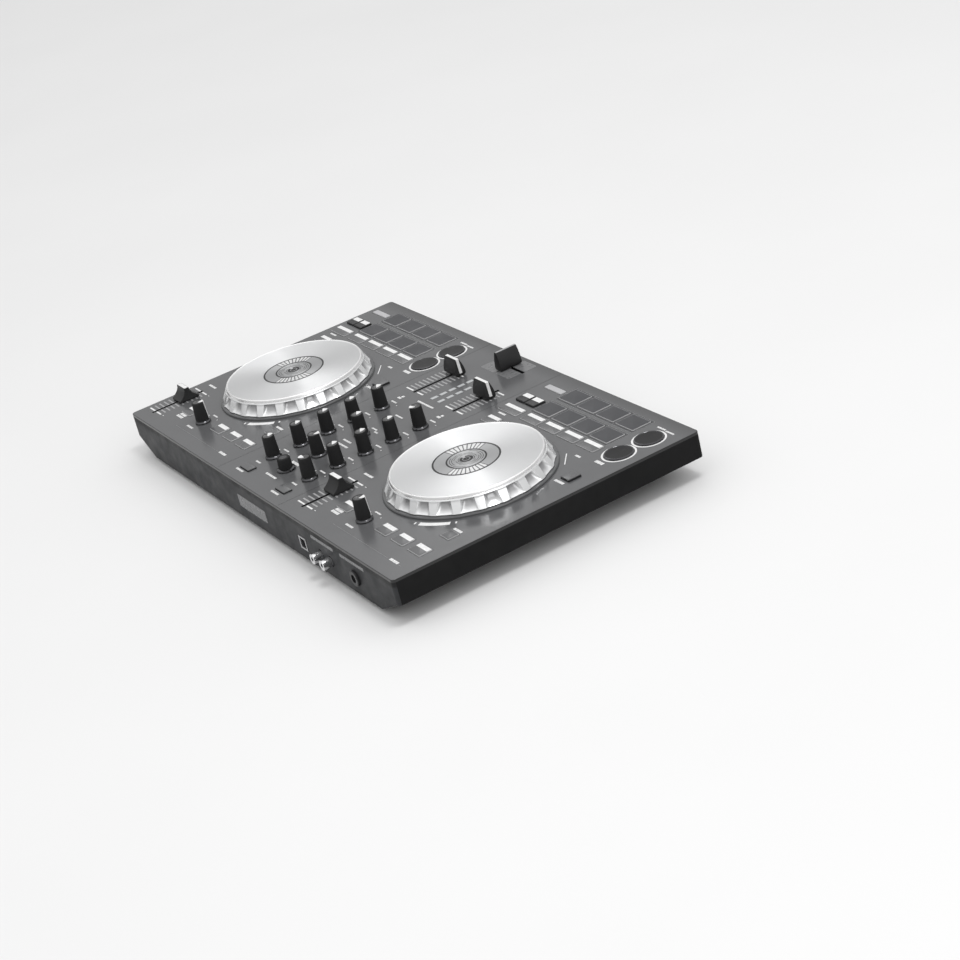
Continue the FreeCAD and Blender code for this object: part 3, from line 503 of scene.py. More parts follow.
def arc(bm, cx, cy, inner, outer, start, end, z=PANEL_TOP, height=PRINT_HEIGHT, step=4.0):
    """A thin printed arc or, over 360 degrees, a ring."""
    whole = end - start >= 360
    count = max(3, round((end - start) / step))
    rings = []
    for i in range(count if whole else count + 1):
        a = math.radians(start + (end - start) * i / count)
        rings.append([bm.verts.new((*around(cx, cy, r, a), level))
                      for r, level in ((inner, z - PRINT_SINK), (outer, z - PRINT_SINK),
                                       (outer, z + height), (inner, z + height))])
    for first, second in zip(rings, rings[1:]):
        skin(bm, first, second)
    if whole:
        skin(bm, rings[-1], rings[0])
    else:
        bm.faces.new(list(reversed(rings[0])))
        bm.faces.new(rings[-1])


def add_object(name, data):
    made = bpy.data.objects.new(name, data)
    bpy.context.scene.collection.objects.link(made)
    return made


def piece(name, bm, material, body, replaced=(), origin=(0, 0, 0), bevel=0.0):
    """Turns a bmesh into an object that rides on a CAD body."""
    bmesh.ops.remove_doubles(bm, verts=bm.verts, dist=1e-7)
    bmesh.ops.recalc_face_normals(bm, faces=bm.faces)
    bmesh.ops.translate(bm, vec=-Vector(origin), verts=bm.verts)
    mesh = bpy.data.meshes.new(name)
    bm.to_mesh(mesh)
    bm.free()
    mesh.materials.append(M[material])
    mesh.shade_smooth()
    mesh.set_sharp_from_angle(angle=math.radians(32))
    made = add_object(name, mesh)
    made.location = origin
    if bevel:
        rounding = made.modifiers.new("soft_edges", "BEVEL")
        rounding.width = bevel
        rounding.segments = 2
        rounding.angle_limit = math.radians(30)
        rounding.harden_normals = True
    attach(made, body)
    if replaced:
        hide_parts(*replaced)
    return made


def panel_print(name, bm, material):
    piece(name, bm, material, "chassis")


# --- case ---
NODE_LOOKS = {
    "top_panel": "panel", "side_frame": "case", "rear_panel": "rear", "lower_case": "under",
    "rubber_feet": "rubber", "case_screws": "screw", "main_board": "board", "rotary_pots": "pot",
    "fader_tracks": "track", "key_switches": "switch", "level_meter_lenses": "lens",
    "jog_bases": "dish", "rca_jacks": "chrome", "mic_jack": "socket", "usb_port": "steel",
    "headphone_jack": "socket",
}
KEY_LOOKS = {
    "effect_keys": "key_rim", "pad_mode_keys": "key_rim", "performance_pads": "key_rim",
    "loop_keys": "key_side", "slip_key": "key_side", "sync_key": "key_rim", "shift_key": "shift",
    "cue_key": "disc", "play_key": "disc", "load_key": "key_side",
}


def dress(node, look):
    """Gives a carried-over CAD node its material."""
    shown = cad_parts[node]
    shown.data.materials.clear()
    shown.data.materials.append(M[look])


def dress_cad_nodes():
    for node, look in NODE_LOOKS.items():
        dress(node, look)
    for stem, look in KEY_LOOKS.items():
        for side in SIDES:
            dress(stem + "_" + side, look)


# --- keys ---
FACE_HEIGHT = 0.12 * MM
FACE_SINK = 0.05 * MM
STRIP_SHARE = 0.34


def key_faces(node, inset, material, corner=0.7 * MM):
    """A thin face let into the top of every cap of a key node."""
    bm = bmesh.new()
    for x0, x1, y0, y1, z in key_tops(node):
        soft_block(bm, x0 + inset, x1 - inset, y0 + inset, y1 - inset, z - FACE_SINK,
                   z + FACE_HEIGHT, corner, 0.06 * MM)
    piece(node + "_faces", bm, material, node)


def key_strips(node, keep=lambda top: True, share=STRIP_SHARE):
    """White printed strips on the user's side of the caps."""
    bm = bmesh.new()
    for x0, x1, y0, y1, z in filter(keep, key_tops(node)):
        depth = (y1 - y0) * share
        bar(bm, (x0 + x1) / 2, y0 + depth / 2 + 0.6 * MM, x1 - x0 - 1.6 * MM, depth,
            z=z + FACE_HEIGHT)
    piece(node + "_strips", bm, "white", node)


def build_keys(side):
    """Faces and printed strips of a deck's keys."""
    wide = 14 * MM
    key_faces("effect_keys_" + side, 0.5 * MM, "key")
    key_strips("effect_keys_" + side, lambda top: top[1] - top[0] > wide)
    key_faces("pad_mode_keys_" + side, 0.5 * MM, "key")
    key_strips("pad_mode_keys_" + side)
    key_faces("performance_pads_" + side, 0.55 * MM, "pad", 0.6 * MM)
    key_faces("slip_key_" + side, 0.35 * MM, "key")
    key_faces("loop_keys_" + side, 0.35 * MM, "key_side")
    key_strips("loop_keys_" + side, share=0.42)
    key_faces("sync_key_" + side, 0.5 * MM, "key")
    key_strips("sync_key_" + side)
    key_faces("shift_key_" + side, 0.4 * MM, "shift")
    key_faces("load_key_" + side, 0.35 * MM, "key")


def transport_key(node):
    """A round key: dished, turned face in a glossy rim."""
    x, y = middle(node)
    low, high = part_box(node)
    flange = (high.x - low.x) / 2
    radius = flange - 1.6 * MM
    top = high.z
    web = low.z + 1.2 * MM
    origin = (x, y, 0)
    rim = bmesh.new()
    lip = beside(radius, top, ((0, -0.5), (-0.15, -0.15), (-0.5, 0), (-1.1, 0), (-1.4, -0.25)))
    turned(rim, [(0, low.z), (flange, low.z), (flange, web), (radius, web), *lip,
                 (0, top - 0.3 * MM)], Matrix.Translation(origin), 96)
    piece(node + "_rim", rim, "collar", node, [node], origin)
    face = bmesh.new()
    turned(face, [(0, top - 0.5 * MM), (radius - 1.45 * MM, top - 0.4 * MM),
                  (radius - 1.45 * MM, top - 0.14 * MM), (radius * 0.5, top - 0.26 * MM),
                  (0, top - 0.3 * MM)], Matrix.Translation(origin), 96)
    piece(node + "_face", face, "disc", node, origin=origin)


# --- jog wheels ---
SKIRT_WALL = 7.0 * MM
NOTCHES = 22
NOTCH_TURN = 1.6
NOTCH_HALF_LOW = 7.0 * MM
NOTCH_HALF_HIGH = 5.2 * MM
NOTCH_FOOT_DEPTH = 0.7 * MM
NOTCH_LEDGE_DEPTH = 2.7 * MM
NOTCH_LEDGE = 0.90
NOTCH_LEVELS = (0.04, 0.12, 0.22, 0.34, 0.48, 0.62, 0.76, NOTCH_LEDGE)
RIM_BEVEL = 0.18 * MM
LAND_STEPS = 4
NOTCH_STEPS = 14
RING_OUTER = 27.0 * MM
RING_INNER = 16.2 * MM
SPOKES = 10
SPOKE_PITCH = 8.6
# Spokes and painted highlight arcs lie only in these sectors, along the camera's heading and
# opposite it.
SPOKE_SECTORS = (113, 293)


def jog_skirt(side):
    """Flared rim: scooped finger notches under a flat ledge, and a scalloped lower edge."""
    node = "jog_skirt_" + side
    x, y = JOGS[side]
    low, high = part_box(node)
    plate_low, plate_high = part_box("jog_plate_" + side)
    top_radius = (plate_high.x - plate_low.x) / 2 + 0.35 * MM
    pitch = 2 * math.pi / NOTCHES

    def radius(t):
        return SKIRT_RADIUS + (top_radius - SKIRT_RADIUS) * t

    def half_width(t):
        wide = NOTCH_HALF_HIGH + (NOTCH_HALF_LOW - NOTCH_HALF_HIGH) * (1 - t) ** 1.4
        return wide / radius(t)

    def scoop(t):
        """Depth in the middle of a notch: upright under the ledge, flaring out to the foot."""
        foot = radius(0) - NOTCH_FOOT_DEPTH
        ledge = radius(NOTCH_LEDGE) - NOTCH_LEDGE_DEPTH
        floor = ledge + (foot - ledge) * (1 - t / NOTCH_LEDGE) ** 1.8
        return radius(t) - floor

    def columns(t, cut):
        """(angle, radius) of every column at height share t."""
        ring = []
        depth = scoop(t) if cut else 0
        for i in range(NOTCHES):
            centre = math.radians(NOTCH_TURN) + i * pitch
            half = half_width(min(t, NOTCH_LEDGE))
            for k in range(NOTCH_STEPS):
                u = -1 + 2 * k / NOTCH_STEPS
                ring.append((centre + u * half, radius(t) - depth * (1 - u ** 4)))
            for k in range(LAND_STEPS):
                share = k / LAND_STEPS
                ring.append((centre + half + share * (pitch - 2 * half), radius(t)))
        return ring

    def points(ring, z):
        return [(*around(x, y, r, a), z) for a, r in ring]

    bm = bmesh.new()
    height = high.z - low.z
    inner = top_radius - SKIRT_WALL
    angles = [a for a, _ in columns(0, True)]
    rings = [points([(a, inner) for a in angles], high.z),
             points([(a, inner) for a in angles], low.z),
             points([(a, r - 0.5 * MM) for a, r in columns(0, True)], low.z)]
    for t in NOTCH_LEVELS:
        rings.append(points(columns(t, True), low.z + height * t))
    rings.append(points(columns(NOTCH_LEDGE, False), low.z + height * (NOTCH_LEDGE + 0.015)))
    rings.append(points(columns(1, False), high.z))
    loops = [[bm.verts.new(p) for p in ring] for ring in rings]
    for first, second in zip(loops, loops[1:] + loops[:1]):
        skin(bm, first, second)
    piece(node + "_rim", bm, "rim", "jog_wheel_" + side, [node],
          (x, y, 0), RIM_BEVEL)


def jog_plate(side):
    """Turned top plate with a raised bead at its edge, and the hub under it."""
    node = "jog_plate_" + side
    x, y = JOGS[side]
    low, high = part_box(node)
    radius = (high.x - low.x) / 2
    top = high.z
    face = top - 0.35 * MM
    under = top - 2.4 * MM
    post = 5.06 * MM
    edge = radius - 2.4 * MM
    rim = edge + 0.3 * MM
    place = Matrix.Translation((x, y, 0))
    bm = bmesh.new()
    turned(bm, [(0, under - 1.6 * MM), (post, under - 1.6 * MM), (post, low.z),
                (post + 4 * MM, low.z), (post + 6 * MM, under), (rim, under), (rim, face),
                (RING_OUTER, face), (0, face)], place, 192)
    piece(node + "_top", bm, "jog", "jog_wheel_" + side, [node], (x, y, 0))
    bead = bmesh.new()
    roll = beside(radius, top, ((-0.5, -0.8), (-0.75, -0.3), (-1.1, -0.05), (-1.4, 0),
                                (-1.7, -0.06), (-2.0, -0.2)))
    turned(bead, [(edge, under + 0.05 * MM), (radius, under + 0.05 * MM), *roll,
                  (edge, top - 0.42 * MM)], place, 192, closed=True)
    piece(node + "_bead", bead, "bead", "jog_wheel_" + side, origin=(x, y, 0))
    jog_print(side, x, y, face)


def jog_print(side, x, y, z):
    """Printed rings, spokes and arcs in the middle of the top plate, with bright silver arcs of
    painted highlight between the spokes.
    """
    band = bmesh.new()
    arc(band, x, y, RING_INNER, RING_OUTER - 0.9 * MM, 0, 360, z - 0.01 * MM, 0.03 * MM, 3)
    arc(band, x, y, 0.1 * MM, RING_INNER - 1.2 * MM, 0, 360, z - 0.01 * MM, 0.03 * MM, 3)
    piece("jog_band_" + side, band, "jog_band", "jog_wheel_" + side,
          origin=(x, y, 0))
    rings = bmesh.new()
    arc(rings, x, y, RING_OUTER - 1.5 * MM, RING_OUTER, 0, 360, z, step=3)
    arc(rings, x, y, RING_INNER - 1.4 * MM, RING_INNER, 0, 360, z, step=3)
    inner, outer = RING_INNER + 0.2 * MM, RING_OUTER - 1.4 * MM
    for start in SPOKE_SECTORS:
        for i in range(SPOKES):
            a = math.radians(start + i * SPOKE_PITCH)
            stroke(rings, around(x, y, inner, a), around(x, y, outer, a), 0.5 * MM, z)
    for i in range(5):
        radius = (6.6 + 1.7 * i) * MM
        start = 20 + 47 * i
        arc(rings, x, y, radius - 0.45 * MM, radius, start, start + 160 - 12 * i, z)
        arc(rings, x, y, radius - 0.45 * MM, radius, start + 185, start + 300, z)
    arc(rings, x, y, 0.2 * MM, 2.6 * MM, 0, 360, z)
    arc(rings, x, y, 3.2 * MM, 5.4 * MM, 15, 345, z)
    piece("jog_print_" + side, rings, "dark", "jog_wheel_" + side)
    # Painted highlight: bright silver arcs between the spokes, only in the two sectors along the
    # camera's heading and opposite it.
    painted_highlight = bmesh.new()
    for start in SPOKE_SECTORS:
        for i in range(SPOKES - 1):
            a = start + (i + 0.5) * SPOKE_PITCH
            arc(painted_highlight, x, y, RING_INNER + 0.8 * MM, RING_OUTER - 1.9 * MM,
                a - 0.32 * SPOKE_PITCH, a + 0.32 * SPOKE_PITCH, z, 0.035 * MM)
    piece("jog_painted_highlight_" + side, painted_highlight, "jog_painted_highlight", "jog_wheel_" + side)


# --- knobs ---
KNOB_BASE = PANEL_TOP + 0.4 * MM
SHAFT = 2.95 * MM
COLLAR_HEIGHT = 2.6 * MM
FOOT_RADIUS = 5.9 * MM
TOP_RADIUS = 5.1 * MM
DISH_RADIUS = 4.3 * MM
DISH_DEPTH = 0.7 * MM
# Clock hours of the pointers. Most knobs point at 5 o'clock, where the broad white pointer also
# stands in as a painted highlight on the dished top.
POINTER_HOURS = {"trim_knob_left": 2, "filter_knob_left": 1, "master_level_knob": 7,
                 "effect_level_knob_left": 7, "effect_level_knob_right": 7}
POINTER_AND_HIGHLIGHT_HOUR = 5
POINTER_STEPS = 4
POINTER_SINK = 0.08 * MM
POINTER_LIFT = 0.07 * MM


def knob_part(node, part, bm, material, replaced=()):
    piece(node + part, bm, material, node, replaced, (*middle(node), 0))


def knob_shaft(node, top):
    low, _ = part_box(node)
    bm = bmesh.new()
    turned(bm, [(0, low.z), (SHAFT - 0.4 * MM, low.z), (SHAFT, low.z + 0.4 * MM), (SHAFT, top),
                (0, top)], Matrix.Translation((*middle(node), 0)), 40)
    knob_part(node, "_shaft", bm, "steel")


def knob_pointer(node, hour, path):
    """White pointer on the knob's outline, broad on top where it is also a painted highlight: path
    holds (radius, height, half width) points.
    """
    x, y = middle(node)
    heading = math.radians(90 - 30 * hour)
    bm = bmesh.new()
    rings = []
    for i, (radius, z, half) in enumerate(path):
        before = Vector(path[max(i - 1, 0)][:2])
        after = Vector(path[min(i + 1, len(path) - 1)][:2])
        along = (after - before).normalized()
        spread = half / max(radius, half)
        ring = []
        for lift, way in ((-POINTER_SINK, 1), (POINTER_LIFT, -1)):
            r = radius - along.y * lift
            for k in range(POINTER_STEPS + 1):
                a = heading + way * spread * (2 * k / POINTER_STEPS - 1)
                ring.append(Vector((*around(x, y, r, a), z + along.x * lift)))
        rings.append(ring)
    loft(bm, rings)
    knob_part(node, "_pointer", bm, "white")


def tall_knob(node):
    """Tapered, finely fluted body in a glossy collar, with a dished top and a broad white pointer
    that is partly a painted highlight.
    """
    low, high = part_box(node)
    top = high.z - POINTER_LIFT
    flange = (high.x - low.x) / 2
    place = Matrix.Translation((*middle(node), 0))
    waist = KNOB_BASE + COLLAR_HEIGHT
    ledge = KNOB_BASE + 0.85 * MM
    collar = bmesh.new()
    bulge = beside(flange, KNOB_BASE, ((-0.5, 0), (-0.1, 0.2), (0, 0.6)))
    turned(collar, [(SHAFT, KNOB_BASE), *bulge, (flange - 0.1 * MM, ledge),
                    (FOOT_RADIUS + 0.1 * MM, ledge + 0.9 * (flange - FOOT_RADIUS - 0.2 * MM)),
                    (FOOT_RADIUS, waist), (SHAFT, waist)], place, closed=True)
    knob_part(node, "_collar", collar, "collar")
    body = bmesh.new()
    rim = TOP_RADIUS - 0.3 * MM
    sides = [(FOOT_RADIUS - (FOOT_RADIUS - TOP_RADIUS) * i / 6,
              waist + (top - 0.35 * MM - waist) * i / 6) for i in range(7)]
    turned(body, [(SHAFT, waist - 0.1 * MM), (FOOT_RADIUS, waist - 0.1 * MM)] + sides
           + [(TOP_RADIUS - 0.08 * MM, top - 0.12 * MM), (rim, top), (DISH_RADIUS, top),
              (DISH_RADIUS - 0.15 * MM, top - 0.3 * MM), (SHAFT, top - DISH_DEPTH - 0.5 * MM)],
           place, 120, closed=True, flutes=30, flute_depth=0.10 * MM)
    knob_part(node, "_body", body, "knob", [node])
    cap = bmesh.new()
    turned(cap, [(0, top - DISH_DEPTH - 0.6 * MM), (DISH_RADIUS - 0.3 * MM, top - 0.6 * MM),
                 (DISH_RADIUS - 0.12 * MM, top - 0.16 * MM), (DISH_RADIUS * 0.6, top - 0.45 * MM),
                 (0, top - DISH_DEPTH)], place, 48)
    knob_part(node, "_top", cap, "knob_top")
    # Up to 5.2 mm wide across the rim: a real pointer widened into a painted highlight on the
    # dished top.
    path = [(0.3 * MM, top - DISH_DEPTH + 0.02 * MM, 0.3 * MM),
            (DISH_RADIUS * 0.6, top - 0.42 * MM, 1.7 * MM),
            (DISH_RADIUS, top - 0.02 * MM, 2.5 * MM), (rim, top, 2.6 * MM),
            (TOP_RADIUS, top - 0.35 * MM, 1.3 * MM), (FOOT_RADIUS, waist, 0.9 * MM)]
    knob_pointer(node, POINTER_HOURS.get(node, POINTER_AND_HIGHLIGHT_HOUR), path)
    knob_shaft(node, KNOB_BASE + 13 * MM)


def browse_knob(node):
    """Low fluted selector on a broad foot."""
    low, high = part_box(node)
    place = Matrix.Translation((*middle(node), 0))
    top = high.z
    flange = (high.x - low.x) / 2
    foot = bmesh.new()
    bulge = beside(flange, KNOB_BASE, ((-0.4, 0), (0, 0.4), (-0.3, 1.3)))
    turned(foot, [(SHAFT, KNOB_BASE), *bulge, (5.6 * MM, KNOB_BASE + 2.2 * MM),
                  (SHAFT, KNOB_BASE + 2.2 * MM)], place, closed=True)
    knob_part(node, "_foot", foot, "collar")
    body = bmesh.new()
    skirt = beside(0, KNOB_BASE, ((5.9, 2.1), (5.75, 3.0)))
    crown = beside(0, top, ((5.45, -0.9), (5.1, -0.3), (4.6, 0), (3.9, -0.1)))
    turned(body, [(SHAFT, KNOB_BASE + 2.1 * MM), *skirt, *crown, (SHAFT, top - 0.4 * MM)],
           place, 192, closed=True, flutes=48, flute_depth=0.22 * MM)
    knob_part(node, "_body", body, "knob", [node])
    cap = bmesh.new()
    turned(cap, beside(0, top, ((0, -1.2), (3.2, -1.2), (3.2, -0.3), (2.2, -0.35), (0, -0.5))),
           place, 48)
    knob_part(node, "_top", cap, "collar")
    knob_shaft(node, top - 2.6 * MM)


# --- faders ---
STEM = (1.7 * MM, 4.0 * MM)


def fader_part(node, part, bm, material, replaced=()):
    piece(node + part, bm, material, node, replaced)


def fader_frame(node, turn):
    """Places a cap that is built round the origin with its width along X."""
    x, y = middle(node)
    return Matrix.Translation((x, y, 0)) @ Matrix.Rotation(math.radians(turn), 4, "Z")


def cap_rings(place, width, levels, corner):
    """Rounded rectangles up a cap: levels hold (width cut, half depth, height)."""
    rings = []
    for cut, half, z in levels:
        outline = rounded_outline(-width / 2 + cut, width / 2 - cut, -half, half, corner)
        rings.append([place @ Vector((x, y, z)) for x, y in outline])
    return rings


def fader_stem(node, place):
    low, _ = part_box(node)
    bm = bmesh.new()
    soft_block(bm, -STEM[0] / 2, STEM[0] / 2, -STEM[1] / 2, STEM[1] / 2, low.z,
               PANEL_TOP + 1.5 * MM, 0.2 * MM, 0.1 * MM, place)
    fader_part(node, "_stem", bm, "steel")


def close_in(levels, steps, fullness, lean, crest, top):
    """Adds levels from the last one up to the crest; fullness maps height share to width share."""
    _, half, start = levels[-1]
    for i in range(1, steps + 1):
        share = i / steps
        levels.append((lean * share, crest / 2 + (half - crest / 2) * fullness(share),
                       start + (top - start) * share))


def cap_line(node, place, width, top, foot_z, lean):
    """White line over the crest and down both ends of a cap."""
    bm = bmesh.new()
    half = 1.3 * MM
    lift = 0.06 * MM
    run = width / 2 - lean
    rings = []
    for x, z, push in ((-width / 2 + 0.02 * MM, foot_z, (-1, 0)), (-run, top - 0.3 * MM, (-1, 0.3)),
                       (-run + 0.5 * MM, top, (-0.3, 1)), (run - 0.5 * MM, top, (0.3, 1)),
                       (run, top - 0.3 * MM, (1, 0.3)), (width / 2 - 0.02 * MM, foot_z, (1, 0))):
        out = Vector((push[0], 0, push[1])).normalized()
        rings.append([place @ (Vector((x, side, z)) + out * depth) for side, depth in
                      ((-half, -0.1 * MM), (half, -0.1 * MM), (half, lift), (-half, lift))])
    loft(bm, rings)
    fader_part(node, "_line", bm, "white")


def crest_line(node, place, width, half, top, material):
    """Pale line along the crest of a cap."""
    line = bmesh.new()
    soft_block(line, -width / 2, width / 2, -half, half, top - 0.3 * MM, top + 0.03 * MM,
               0.2 * MM, 0.02 * MM, place)
    fader_part(node, "_line", line, material)


def blade_cap(node, turn, width, crest, lean, wrapped):
    """Upright fader cap: full flanks that close in to a narrow crest."""
    place = fader_frame(node, turn)
    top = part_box(node)[1].z
    foot = PANEL_TOP + 0.6 * MM
    half = 5.0 * MM
    levels = [(0.5 * MM, half - 1.4 * MM, foot), (0.1 * MM, half - 0.5 * MM, foot + 0.9 * MM),
              (0, half - 0.2 * MM, foot + 2.0 * MM)]
    close_in(levels, 8, lambda share: 1 - share ** 1.9, lean, crest, top - 0.5 * MM)
    levels.append((lean + 0.15 * MM, crest / 2 - 0.15 * MM, top - 0.15 * MM))
    levels.append((lean + 0.5 * MM, crest / 2 - 0.5 * MM, top))
    bm = bmesh.new()
    loft(bm, cap_rings(place, width, levels, 0.5 * MM))
    fader_part(node, "_cap", bm, "fader", [node])
    if wrapped:
        cap_line(node, place, width, top, foot + 2.2 * MM, lean)
    else:
        crest_line(node, place, width - 2 * lean - 1.4 * MM, crest / 2 - 0.5 * MM, top, "pale")
    fader_stem(node, place)


def saddle_cap(node, width, crest):
    """Low slider cap swept up on both sides to a narrow crest with a white line."""
    place = fader_frame(node, 0)
    low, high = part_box(node)
    top = high.z
    foot = PANEL_TOP + 0.6 * MM
    half = (high.y - low.y) / 2
    levels = [(0.2 * MM, half - 0.2 * MM, foot), (0, half, foot + 0.3 * MM),
              (0, half, foot + 1.4 * MM)]
    close_in(levels, 12, lambda share: (1 - share) ** 2.1, 0.5 * MM, crest, top - 0.3 * MM)
    levels.append((0.8 * MM, crest / 2 - 0.4 * MM, top))
    bm = bmesh.new()
    loft(bm, cap_rings(place, width, levels, 0.5 * MM))
    fader_part(node, "_cap", bm, "fader", [node])
    crest_line(node, place, width - 2.4 * MM, crest / 2 - 0.5 * MM, top, "white")
    fader_stem(node, place)


def build_faders():
    for side in SIDES:
        blade_cap("channel_fader_" + side, 0, 21.5 * MM, 3.6 * MM, 1.5 * MM, True)
        saddle_cap("tempo_slider_" + side, 17.5 * MM, 4.6 * MM)
    blade_cap("crossfader", 90, 21.5 * MM, 3.4 * MM, 0.5 * MM, False)


# --- prints on the panel ---
LINE = 0.35 * MM
GLYPH_WIDTHS = (0.62, 0.48, 0.70, 0.55, 0.30, 0.66, 0.52)


def caption(bm, x, y, width, height):
    """A label as rows of plain blocks, in place of words."""
    rows = max(1, round(height / (2.9 * MM)))
    pitch = height / rows
    tall = pitch * 0.78
    for row in range(rows):
        row_y = y + height / 2 - pitch * (row + 0.5)
        left = x - width / 2
        i = row
        while left < x + width / 2 - 0.25 * tall:
            glyph = tall * GLYPH_WIDTHS[i % len(GLYPH_WIDTHS)]
            bar(bm, left + glyph / 2, row_y, glyph, tall, corner=0.12 * MM)
            left += glyph + tall * 0.14
            i += 1


DECK_CAPTIONS = (
    (-69.1, 107.2, 12, 3.2), (41.9, 95.8, 11, 7), (11.3, 101.5, 11, 2.6), (75.2, 49.8, 13, 2.8),
    (-69.6, 53.1, 11, 3), (-70.8, -35.8, 11, 3.2), (-70.5, -72.1, 10.5, 4), (-46.7, -68.4, 7, 2.6),
    (75.0, -75.4, 10, 2.4), (-76.9, -133.2, 11, 2.2), (-64.9, -134.0, 11, 2.2),
)
MIXER_CAPTIONS = (
    (-31.1, 121.2, 12, 2.6), (36.2, 120.5, 12, 2.6), (-31.2, 103.5, 8, 2.2), (35.1, 103.8, 8, 2.2),
    (0.8, 108.9, 18, 2.6), (2.2, 85.4, 13, 3.6), (1.7, -38.0, 25, 2.4), (-3.2, 44.4, 17, 2.4),
    (0.3, 38.2, 13, 2.4), (-7.3, 15.1, 6, 2.2), (2.0, -12.3, 12, 2),
)
TICK_ROWS = 11
EFFECT_RULE_Y = 107.9
SEAM_LINES = (-54.2, 59.5)
SLOT_MARGIN = 1.6 * MM
PLATE_DEPTH = 12.8 * MM


def tick_rows(node, rows, spans):
    """Scale marks beside a fader: bold white ends, paler marks between them."""
    first, last = rows
    ends = bmesh.new()
    between = bmesh.new()
    for i in range(TICK_ROWS):
        y = first + (last - first) * i / (TICK_ROWS - 1)
        strong = i in (0, TICK_ROWS - 1)
        for x0, x1 in spans:
            stroke(ends if strong else between, (x0, y), (x1, y), 1.5 * MM if strong else 1.4 * MM)
    panel_print(node + "_scale_ends", ends, "white")
    panel_print(node + "_scale_marks", between, "mark")


PAD_GAP = 0.45 * MM
PAD_RULE = 1.75 * MM
RULE_WIDTH = 0.5 * MM


def deck_prints(side):
    """Captions, scales and rules printed round one deck."""
    x, y = JOGS[side]

    def at(dx, dy):
        return x + dx * MM, y + dy * MM

    bm = bmesh.new()
    for dx, dy, width, height in DECK_CAPTIONS:
        caption(bm, *at(dx, dy), width * MM, height * MM)
    tick_rows("tempo_" + side, (y + 61.5 * MM, y + 106.7 * MM),
              ((x + 63.5 * MM, x + 72.7 * MM), (x + 76.7 * MM, x + 87.8 * MM)))
    for dx, dy in ((59.2, 106.4), (58.6, 61.5)):
        bar(bm, *at(dx, dy), 2.4 * MM, 0.5 * MM)
    arc(bm, x, y, 72.3 * MM, 76.6 * MM, 117.5, 137)
    for start in (140, 114):
        arc(bm, x, y, 72.8 * MM, 75.6 * MM, start, start + 1)
    stroke(bm, at(-49.7, -54.4), at(-35.1, -65.8), 0.8 * MM)
    panel_print("deck_prints_" + side, bm, "white")
    rule = bmesh.new()
    for start, end in ((-80.6, -76.6), (-61.5, 26.7)):
        stroke(rule, at(start, EFFECT_RULE_Y), at(end, EFFECT_RULE_Y), LINE)
    panel_print("effect_rule_" + side, rule, "faint")
    key_surrounds(side)


def key_surrounds(side):
    """Pale rings round the transport keys and thin rules between key rows."""
    rings = bmesh.new()
    for key in ("cue_key_", "play_key_"):
        x, y = middle(key + side)
        arc(rings, x, y, 12.2 * MM, 13.8 * MM, 0, 360)
    panel_print("transport_rings_" + side, rings, "white")
    field = bmesh.new()
    rules = bmesh.new()
    pads = sorted(key_tops("performance_pads_" + side), key=lambda top: (top[2], top[0]))
    for row in (pads[:4], pads[4:]):
        near, far = row[0][2] - PAD_RULE, row[0][3] + PAD_RULE
        for x0, x1, y0, y1, _ in row:
            frame_line(field, x0 - PAD_RULE, x1 + PAD_RULE, y0 - PAD_RULE, y1 + PAD_RULE,
                       PAD_RULE - PAD_GAP, 0.8 * MM)
            stroke(rules, (x0 - PAD_RULE, near), (x0 - PAD_RULE, far), RULE_WIDTH)
        left, right = row[0][0] - PAD_RULE, row[3][1] + PAD_RULE
        stroke(rules, (right, near), (right, far), RULE_WIDTH)
        stroke(rules, (left, near), (right, near), RULE_WIDTH)
        stroke(rules, (left, far), (right, far), RULE_WIDTH)
    panel_print("pad_field_" + side, field, "pad_field")
    panel_print("pad_rules_" + side, rules, "rule")


def mixer_prints():
    """Captions, fader scales and marks round the mixer's controls."""
    bm = bmesh.new()
    for x, y, width, height in MIXER_CAPTIONS:
        caption(bm, x * MM, y * MM, width * MM, height * MM)
    for side in SIDES:
        x, _ = middle("channel_fader_" + side)
        tick_rows("channel_" + side, (-46.7 * MM, -86.9 * MM),
                  ((x - 13 * MM, x - 3.4 * MM), (x + 3.4 * MM, x + 15 * MM)))
    for x in (-31.2 * MM, 35.3 * MM):
        caption(bm, x, -33.3 * MM, 4 * MM, 6 * MM)
    for node in CHANNEL_KNOBS + LEVEL_KNOBS + EFFECT_KNOBS:
        x, y = middle(node)
        for dx, dy in ((-8.3, -9.6), (8.3, -9.6)):
            arc(bm, x + dx * MM, y + dy * MM, 0.15 * MM, 0.55 * MM, 0, 360, step=30)
        caption(bm, x + 0.5 * MM, y - 12.2 * MM, 8 * MM, 2 * MM)
    panel_print("mixer_prints", bm, "white")


def cross_plates():
    """Four paler plates round the crossfader slot, and the seams beside the mixer."""
    bm = bmesh.new()
    _, slot_y = middle("crossfader")
    for x0, x1 in ((-20.6, 1.0), (3.4, 25.5)):
        for way in (-1, 1):
            bar(bm, (x0 + x1) / 2 * MM, slot_y + way * (SLOT_MARGIN + PLATE_DEPTH / 2),
                (x1 - x0) * MM, PLATE_DEPTH, corner=2 * MM)
    panel_print("cross_plates", bm, "faint")
    seams = bmesh.new()
    for x in SEAM_LINES:
        stroke(seams, (x * MM, PANEL_LOW.y + 2 * MM), (x * MM, PANEL_HIGH.y - 2 * MM), 0.3 * MM)
    panel_print("mixer_seams", seams, "dark")


# --- prints on the rear plate ---
def rear_bar(bm, x0, x1, z0, z1, corner):
    """A thin printed bar on the rear plate."""
    outline = rounded_outline(x0, x1, z0, z1, corner)
    loft(bm, [[Vector((x, level, z)) for x, z in outline]
              for level in (REAR_Y - PRINT_SINK, REAR_Y + PRINT_HEIGHT)])


